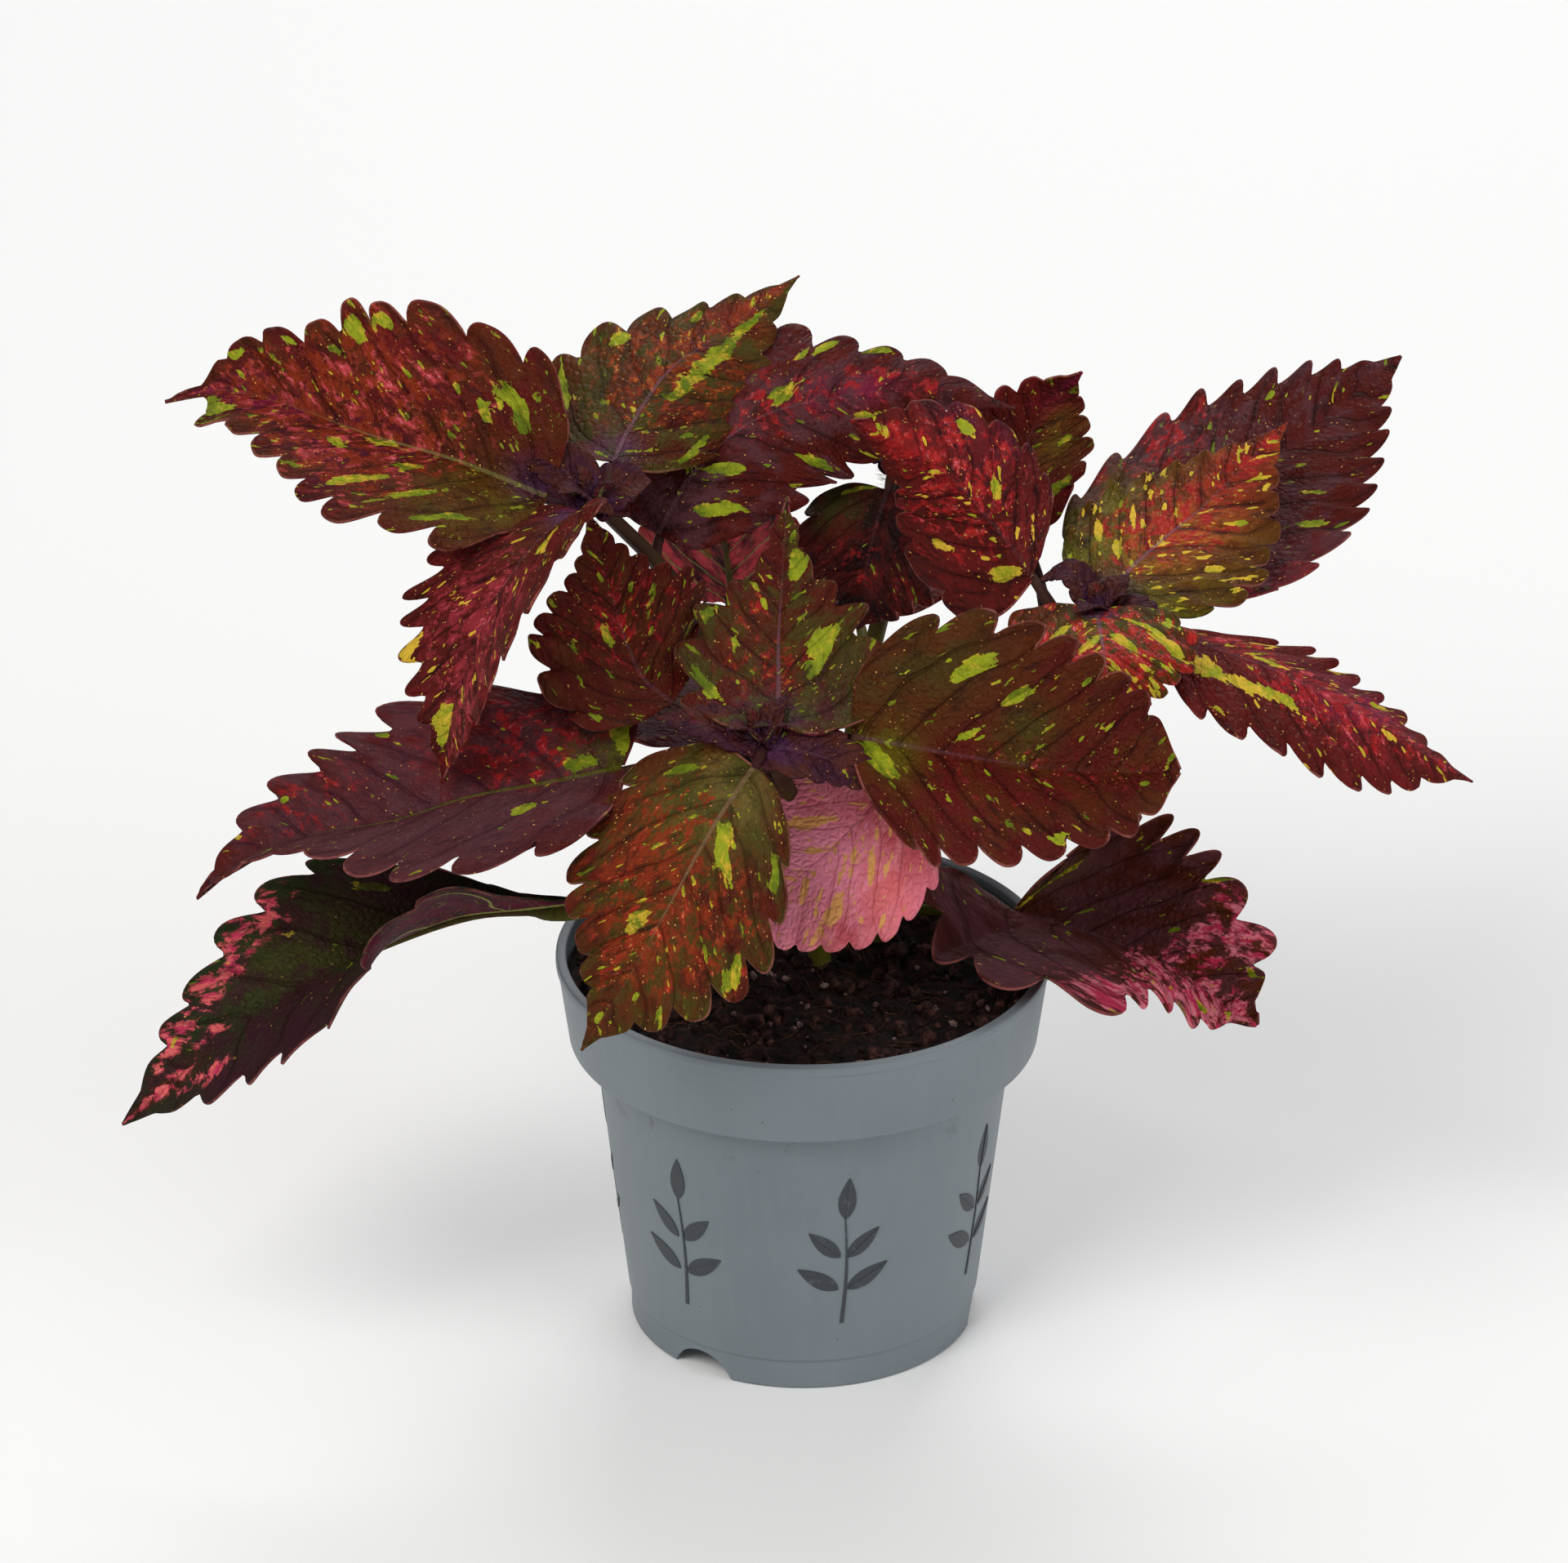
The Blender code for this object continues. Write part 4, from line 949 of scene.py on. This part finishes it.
def petioleTube(name, stemRows, leaf):
    start = placeOn(stemRows, leaf["at"])[0]
    rows = tracePath(leaf["midrib"])
    base, direction, _, up = bladeAxes(rows, leaf, 0.02)
    bend = base - direction * (0.35 * (base - start).length)
    points = [start, start.lerp(bend, 0.75) - up * 0.4, base - up * (leaf["stalk"][-1] + 0.6)]
    for u, radius in zip(shoot["ribPlaces"], shoot["ribRadii"]):  # then on as the midrib, below the blade
        point, _, _, lift = bladeAxes(rows, leaf, u)
        points.append(point - lift * (radius + shoot["sunk"]))
    purple = shoot["highTint"] if leaf["at"] > 0.7 else shoot["lowTint"]
    return tubeAlong(name, points, (*leaf["stalk"], *shoot["ribRadii"]), shoot["petioleAround"], 0.0, 5,
                     (purple, purple, purple, *shoot["petioleTint"]))


def youngBlade(name, stemRows, reach, wide, roll, arch, seed):
    tip, direction, reach = stemRows[-1][1], stemRows[-1][2], Vector(reach)
    middle = tip + reach * 0.5 + Vector((0, 0, arch * reach.length))
    midrib = [tip - direction * 1.5, middle, tip + reach]
    young = dict(youngSkin, midrib=midrib, width=wide, roll=(roll, roll))
    return bladePiece(name, young, seed)


def hairTuft(name, stemRows, chance):  # fine hairs round a growing tip
    tip, direction = stemRows[-1][1], stemRows[-1][2]
    length = hairs["length"] * mm
    bpy.ops.mesh.primitive_cone_add(vertices=3, radius1=hairs["radius"] * mm, radius2=0, depth=length,
                                    location=(0, 0, length / 2))
    hair = bpy.context.object
    bpy.ops.object.transform_apply(location=True, rotation=True, scale=True)
    strands = []
    for _ in range(hairs["count"]):
        back = chance.uniform(0, hairs["behind"])
        outward = Vector((chance.gauss(0, 1), chance.gauss(0, 1), chance.gauss(0, 1)))
        outward = (outward - outward.dot(direction) * direction * 0.8).normalized()
        away = chance.uniform(hairs["nearest"], hairs["farthest"])
        root = tip + direction * (hairs["ahead"] - back) + outward * away
        strand = hair.copy()
        strand.data = hair.data.copy()
        turn = (outward + direction * 0.3).to_track_quat("Z", "Y").to_matrix().to_4x4()
        strand.data.transform(Matrix.Translation(root * mm) @ turn)
        bpy.context.collection.objects.link(strand)
        strands.append(strand)
    bpy.data.objects.remove(hair)
    return joinPieces(strands, name)


chance = random.Random(hairs["seed"])
skin = stemSkin()
for node, path in stems.items():
    label = node[11:]
    rows = tracePath(path)
    radii = [shoot["sideRadius"] + (shoot["tipRadius"] - shoot["sideRadius"]) * k / 4 for k in range(5)]
    tubes = [tubeAlong(f"shoot_{label}", path, radii, shoot["around"], shoot["squareness"], 12,
                       shoot["tint"])]
    for key, leaf in leaves[node].items():
        tubes.append(petioleTube(f"petiole_{label}_{key}", rows, {**blade, **leaf}))
    wood = joinPieces(tubes, f"stem_{label}")
    wood.data.materials.clear()
    wood.data.materials.append(skin)
    young = []
    for k, place in enumerate(youngLeaves[node]):
        young.append(youngBlade(f"young_{label}_{k}", rows, *place, 40 + k))
    tuft = joinPieces(young, f"young_{label}")
    fur = hairTuft(f"hairs_{label}", rows, chance)
    material, tree, shader = newMaterial(f"hairs_{label}")
    shader.inputs["Base Color"].default_value = (*tone("violet"), 1)
    shader.inputs["Roughness"].default_value = 0.6
    fur.data.materials.append(material)
    for piece in (wood, tuft, fur):
        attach(piece, "root")
        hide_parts(node)
    print("stem", label, "done")


# pot
pot = dict(rim=60, height=98, lipWidth=2.6, lipDepth=2.2, collarFoot=56.8, collarFootHeight=76.3,
           bodyTop=50.8, bodyFoot=42.9, foot=42.2, footStep=8, wall=1.4, skirt=6, pad=19, steps=144,
           archHalf=8.5, archHeight=6, archHeadings=(-126, -6, 114), archDepth=8.4, archSides=48,
           drains=6, drainHeading=30, drainCircle=31, drainRadius=4, drainDepth=5.6, drainSides=32)
# plastic tones; the last one is painted shade for the band under the collar
plastic = dict(dull=(0.158, 0.189, 0.209, 1), pale=(0.18, 0.213, 0.234, 1), strand=(0.22, 0.255, 0.27, 1),
               dirt=(0.03, 0.02, 0.018, 1), underCollarShade=(0.05, 0.04, 0.035, 1))


def turnedPiece(name, profile, steps):
    places = [Vector((r, 0, z)) for r, z in profile]
    last = len(places) - 1

    def place(s, t):
        radius, _, height = places[round(s * last)]
        return Vector((radius * cos(2 * pi * t), radius * sin(2 * pi * t), height))

    return weldAndSmooth(shapedGrid(name, last, steps, place))


def roundedProfile(points, sizes, steps=3):  # rounds each corner by the size given with it
    out = [points[0]]
    for before, here, after, size in zip(points, points[1:], points[2:], sizes[1:]):
        a, b, c = (Vector(p) for p in (before, here, after))
        if size:
            toward, onward = (a - b).normalized() * size, (c - b).normalized() * size
            for k in range(steps + 1):
                s = k / steps
                out.append(tuple(b + toward * (1 - s) ** 2 + onward * s**2))
        else:
            out.append(here)
    return out + [points[-1]]


def potShell():
    rim, wall, pad, skirt = pot["rim"], pot["wall"], pot["pad"], pot["skirt"]
    top, lipFoot, lipInside = pot["height"], pot["height"] - pot["lipDepth"], pot["rim"] - pot["lipWidth"]
    collarFoot, collarHeight = pot["collarFoot"], pot["collarFootHeight"]
    bodyTop, bodyFoot, foot = pot["bodyTop"], pot["bodyFoot"], pot["foot"]
    ledge, floorTop = collarHeight + wall, skirt + wall
    corners = [  # radius, height, rounding; up the inside and down the outside
        (0, wall, 0), (pad - 1.8, wall, 0.8), (pad + 2.2, floorTop, 0.8), (bodyFoot - wall, floorTop, 1),
        (bodyTop - wall, ledge - 0.8, 0.8), (collarFoot - wall, ledge, 0.8),
        (rim - wall - 0.2, lipFoot - 1, 0.4), (lipInside, lipFoot, 0.3), (lipInside, top, 0.45),
        (rim - 0.05, top, 0.6), (rim, lipFoot, 0.4), (rim - 0.5, lipFoot - 0.5, 0.25),
        (collarFoot + 0.1, collarHeight, 0.5), (bodyTop, collarHeight, 0.35),
        (bodyFoot, pot["footStep"], 0.3), (foot + 0.1, pot["footStep"] - 0.8, 0.3), (foot, 0, 0.4),
        (foot - wall, 0, 0.4), (foot - wall, skirt, 0.5), (pad + 3, skirt, 0.6), (pad - 1, 0, 0.4),
        (0, 0, 0),
    ]
    profile = roundedProfile([c[:2] for c in corners], [c[2] for c in corners])
    shell = turnedPiece("pot_shell", profile, pot["steps"])
    sunk = (pot["archHalf"] ** 2 - pot["archHeight"] ** 2) / (2 * pot["archHeight"])
    for heading in pot["archHeadings"]:
        away = Matrix.Translation((foot * mm, 0, -sunk * mm))
        place = Matrix.Rotation(radians(heading), 4, "Z") @ away @ Matrix.Rotation(pi / 2, 4, "Y")
        cutBy(shell, place, pot["archHeight"] - 0.2 + sunk, pot["archDepth"], pot["archSides"])
    for k in range(pot["drains"]):
        heading = pot["drainHeading"] + 360 * k / pot["drains"]
        away = Matrix.Translation((pot["drainCircle"] * mm, 0, skirt * mm))
        place = Matrix.Rotation(radians(heading), 4, "Z") @ away
        cutBy(shell, place, pot["drainRadius"], pot["drainDepth"], pot["drainSides"])
    bpy.ops.object.select_all(action="DESELECT")
    shell.select_set(True)
    bpy.context.view_layer.objects.active = shell
    bpy.ops.object.shade_smooth_by_angle(angle=radians(40))
    return shell


def cutBy(piece, place, radius, depth, sides):
    bpy.ops.mesh.primitive_cylinder_add(vertices=sides, radius=radius * mm, depth=depth * mm)
    cutter = bpy.context.object
    cutter.data.transform(place)
    applyModifier(piece, "BOOLEAN", operation="DIFFERENCE", object=cutter, solver="EXACT")
    bpy.data.objects.remove(cutter)


def potPlastic():
    material, tree, shader = newMaterial("potPlastic")
    space = objectSpace(tree)
    x, y, z = separate(tree, space)
    broad = noiseAt(tree, space, 22, 3, 0.5)
    fine = noiseAt(tree, space, 1400, 3, 0.6)
    strands = noiseAt(tree, combine(tree, x, y, times(tree, z, 0.06)), 420, 3, 0.6)  # upright streaks
    colour = mixTone(tree, ease(tree, broad, 0.3, 0.7), plastic["dull"], plastic["pale"])
    colour = mixTone(tree, ease(tree, strands, 0.35, 0.75, 0, 0.16), colour, plastic["strand"])
    specks = ease(tree, cellsAt(tree, space, 260), 0.05, 0.1, 1, 0)
    specks = times(tree, specks, ease(tree, noiseAt(tree, space, 60), 0.56, 0.62))
    colour = mixTone(tree, times(tree, specks, 0.7), colour, plastic["dirt"])
    # painted shade: darker patches in the band just under the collar ledge
    belowCollar = times(tree, ease(tree, z, 0.06, 0.074), ease(tree, z, 0.076, 0.0775, 1, 0))
    paintedCollarShade = times(tree, ease(tree, noiseAt(tree, space, 130, 5, 0.7), 0.58, 0.66), belowCollar)
    colour = mixTone(tree, times(tree, paintedCollarShade, 0.5), colour, plastic["underCollarShade"])
    tree.links.new(colour, shader.inputs["Base Color"])
    tree.links.new(ease(tree, broad, 0.3, 0.7, 0.44, 0.52), shader.inputs["Roughness"])
    shader.inputs["Specular IOR Level"].default_value = 0.4
    addBump(tree, shader, plus(tree, fine, strands), 0.0001, 0.35)
    return material


shell = potShell()
shell.data.materials.append(potPlastic())
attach(shell, "root")
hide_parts("pot")

# sprigs printed round the wall: each row gives how far up the stalk a leaf sits, its tilt and its length
sprig = dict(count=7, firstHeading=-78, foot=19, stalk=31, stalkWidth=0.8, leafWidth=0.36, gap=0.12,
             proud=0.06, thickness=0.2,
             leaves=((0.3, 58, 12), (0.3, -58, 12), (0.6, 46, 11), (0.6, -46, 11), (0.95, 4, 12)))


def onWall(heading, across, height):
    share = (height - pot["footStep"]) / (pot["collarFootHeight"] - pot["footStep"])
    radius = pot["bodyFoot"] + (pot["bodyTop"] - pot["bodyFoot"]) * share + sprig["proud"]
    angle = radians(heading) + across / radius
    return Vector((radius * cos(angle), radius * sin(angle), height))


def printedLeaf(name, heading, up, tilt, length, part):  # one half of a leaf, beside its bare midrib
    tilt = radians(tilt)

    def place(s, t):
        wide = sprig["gap"] + length * sprig["leafWidth"] * sin(pi * s ** 0.8) ** 0.9 * t
        away, aside = length * (0.1 + s), part * wide
        across = away * sin(tilt) + aside * cos(tilt)
        return onWall(heading, across, up + away * cos(tilt) - aside * sin(tilt))

    return shapedGrid(name, 12, 3, place)


def printedStalk(name, heading):
    def place(s, t):
        wide = sprig["stalkWidth"] * (1.2 - 0.8 * s) * (t - 0.5)
        return onWall(heading, wide + 0.8 * sin(3 * s), sprig["foot"] + sprig["stalk"] * s)

    return shapedGrid(name, 24, 1, place)


prints = []
for k in range(sprig["count"]):
    heading = sprig["firstHeading"] + 360 * k / sprig["count"]
    prints.append(printedStalk(f"stalk_{k}", heading))
    for j, (share, tilt, length) in enumerate(sprig["leaves"]):
        up = sprig["foot"] + sprig["stalk"] * share
        for part in (-0.5, 0.5):
            prints.append(printedLeaf(f"print_{k}_{j}_{part}", heading, up, tilt, length, part))
printed = joinPieces(prints, "pot_print")
applyModifier(printed, "SOLIDIFY", thickness=sprig["thickness"] * mm, offset=-1)
material, tree, shader = newMaterial("ink")
rubbed = noiseAt(tree, objectSpace(tree), 320, 4, 0.6)
inked = mixTone(tree, ease(tree, rubbed, 0.58, 0.7, 0, 0.5), "ink", "inkRubbed")
tree.links.new(inked, shader.inputs["Base Color"])
shader.inputs["Roughness"].default_value = 0.55
printed.data.materials.append(material)
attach(printed, "root")
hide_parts("pot")
print("pot done")


# soil
soil = dict(top=92, radius=56.9, wave=1.1, grain=1.3, rings=70, steps=180, gap=0.3, foot=7.8, seed=12,
            crumbs=560, crumbSizes=(0.5, 2.6), perlite=130, perliteSizes=(0.3, 1.4), grainReach=55.5,
            edge=55.8, fibres=160, fibreReach=52, fibreLengths=(4, 12), fibreRadii=(0.08, 0.2, 0.16, 0.06),
            flecks=(0.12, 0.055, 0.035, 1))
soilTones = {  # dark tone, pale tone, how much is dark, scale
    "pottingMix": ((0.006, 0.0026, 0.002, 1), (0.055, 0.018, 0.013, 1), 0.57, 260),
    "crumbs": ((0.016, 0.006, 0.005, 1), (0.15, 0.058, 0.046, 1), 0.56, 320),
    "perlite": ((0.13, 0.06, 0.05, 1), (0.46, 0.3, 0.27, 1), 0.5, 500),
    "fibres": ((0.05, 0.018, 0.01, 1), (0.12, 0.05, 0.025, 1), 0.5, 300),
}


def soilWave(x, y):
    return soil["wave"] * (
        0.5 * sin(x / 9 + 1.3) * cos(y / 11) + 0.3 * sin((x + y) / 5.5) + 0.3 * cos((x - 2 * y) / 8))


def soilHeight(x, y):
    lumps = noise.fractal(Vector((x * 0.33, y * 0.33, 3.0)), 0.9, 2.1, 4)
    return soil["top"] + soilWave(x, y) + soil["grain"] * (lumps - 0.2)


def soilFill():
    rings, wall, gap = soil["rings"], pot["wall"], soil["gap"]
    walls = [  # radius, height
        (56.5, 87), (pot["collarFoot"] - wall - gap, 78.1), (pot["bodyTop"] - wall - gap, 77.2),
        (pot["bodyFoot"] - wall - gap, soil["foot"]), (0, soil["foot"])]

    def place(s, t):
        k = round(s * (rings + len(walls)))
        angle = 2 * pi * t
        if k > rings:
            r, z = walls[k - rings - 1]
            return Vector((r * cos(angle), r * sin(angle), z))
        r = soil["radius"] * k / rings
        x, y = r * cos(angle), r * sin(angle)
        return Vector((x, y, soilHeight(x, y)))

    return weldAndSmooth(shapedGrid("soil_fill", rings + len(walls), soil["steps"], place))


def grainShape(name, roughness, chance):
    bpy.ops.mesh.primitive_ico_sphere_add(subdivisions=2, radius=1)
    grain = bpy.context.object
    grain.name = name
    shift = Vector((chance.random() * 20, chance.random() * 20, 0))
    for vertex in grain.data.vertices:
        vertex.co *= 1 + roughness * noise.noise(vertex.co * 1.4 + shift)
    return grain


def scatterGrains(name, count, sizes, roughness, chance):
    shapes = [grainShape(f"{name}_{k}", roughness, chance) for k in range(3)]
    grains = []
    for k in range(count):
        r, angle = soil["grainReach"] * chance.random() ** 0.5, chance.uniform(0, 2 * pi)
        size = sizes[0] + (sizes[1] - sizes[0]) * chance.random() ** 2.2  # most are small
        r = min(r, soil["edge"] - size)
        x, y = r * cos(angle), r * sin(angle)
        grain = shapes[k % 3].copy()
        grain.data = shapes[k % 3].data.copy()
        turn = Matrix.Rotation(chance.uniform(0, 6), 4, "Z") @ Matrix.Rotation(chance.uniform(0, 6), 4, "X")
        place = Matrix.Translation(Vector((x, y, soilHeight(x, y) + size * 0.25)) * mm)
        flattened = Matrix.Diagonal((size * mm, size * mm * 0.8, size * mm * 0.7, 1))
        grain.data.transform(place @ turn @ flattened)
        bpy.context.collection.objects.link(grain)
        grains.append(grain)
    for shape in shapes:
        bpy.data.objects.remove(shape)
    joined = joinPieces(grains, name)
    joined.data.shade_smooth()
    return joined


def scatterFibres(name, chance):
    fibres = []
    for k in range(soil["fibres"]):
        r, angle = soil["fibreReach"] * chance.random() ** 0.5, chance.uniform(0, 2 * pi)
        heading, length = chance.uniform(0, 2 * pi), chance.uniform(*soil["fibreLengths"])
        points = []
        for j in range(4):
            heading += chance.uniform(-0.5, 0.5)
            x = r * cos(angle) + (j - 1.5) * length / 3 * cos(heading)
            y = r * sin(angle) + (j - 1.5) * length / 3 * sin(heading)
            points.append((x, y, soilHeight(x, y) + chance.uniform(0.1, 1.0)))
        fibres.append(tubeAlong(f"fibre_{k}", points, soil["fibreRadii"], 5, 0.0, 3))
    return joinPieces(fibres, name)


def soilMaterial(name):
    dark, light, share, scale = soilTones[name]
    material, tree, shader = newMaterial(name)
    space = objectSpace(tree)
    cloud = noiseAt(tree, space, scale, 6, 0.7)
    fine = noiseAt(tree, space, scale * 6, 4, 0.7)
    colour = mixTone(tree, ease(tree, cloud, share - 0.12, share + 0.12), dark, light)
    colour = mixTone(tree, ease(tree, fine, 0.62, 0.74, 0, 0.5), colour, soil["flecks"])
    tree.links.new(colour, shader.inputs["Base Color"])
    shader.inputs["Roughness"].default_value = 0.9
    shader.inputs["Specular IOR Level"].default_value = 0.25
    addBump(tree, shader, plus(tree, cloud, fine), 0.0008, 0.9)
    return material


dirt = random.Random(soil["seed"])
bed = soilFill()
crumbs = scatterGrains("soil_crumbs", soil["crumbs"], soil["crumbSizes"], 0.8, dirt)
perlite = scatterGrains("soil_perlite", soil["perlite"], soil["perliteSizes"], 0.9, dirt)
fibres = scatterFibres("soil_fibres", dirt)
for piece, finish in ((bed, "pottingMix"), (crumbs, "crumbs"), (perlite, "perlite"), (fibres, "fibres")):
    piece.data.materials.append(soilMaterial(finish))
    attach(piece, "root")
    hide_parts("soil")
print("soil done")
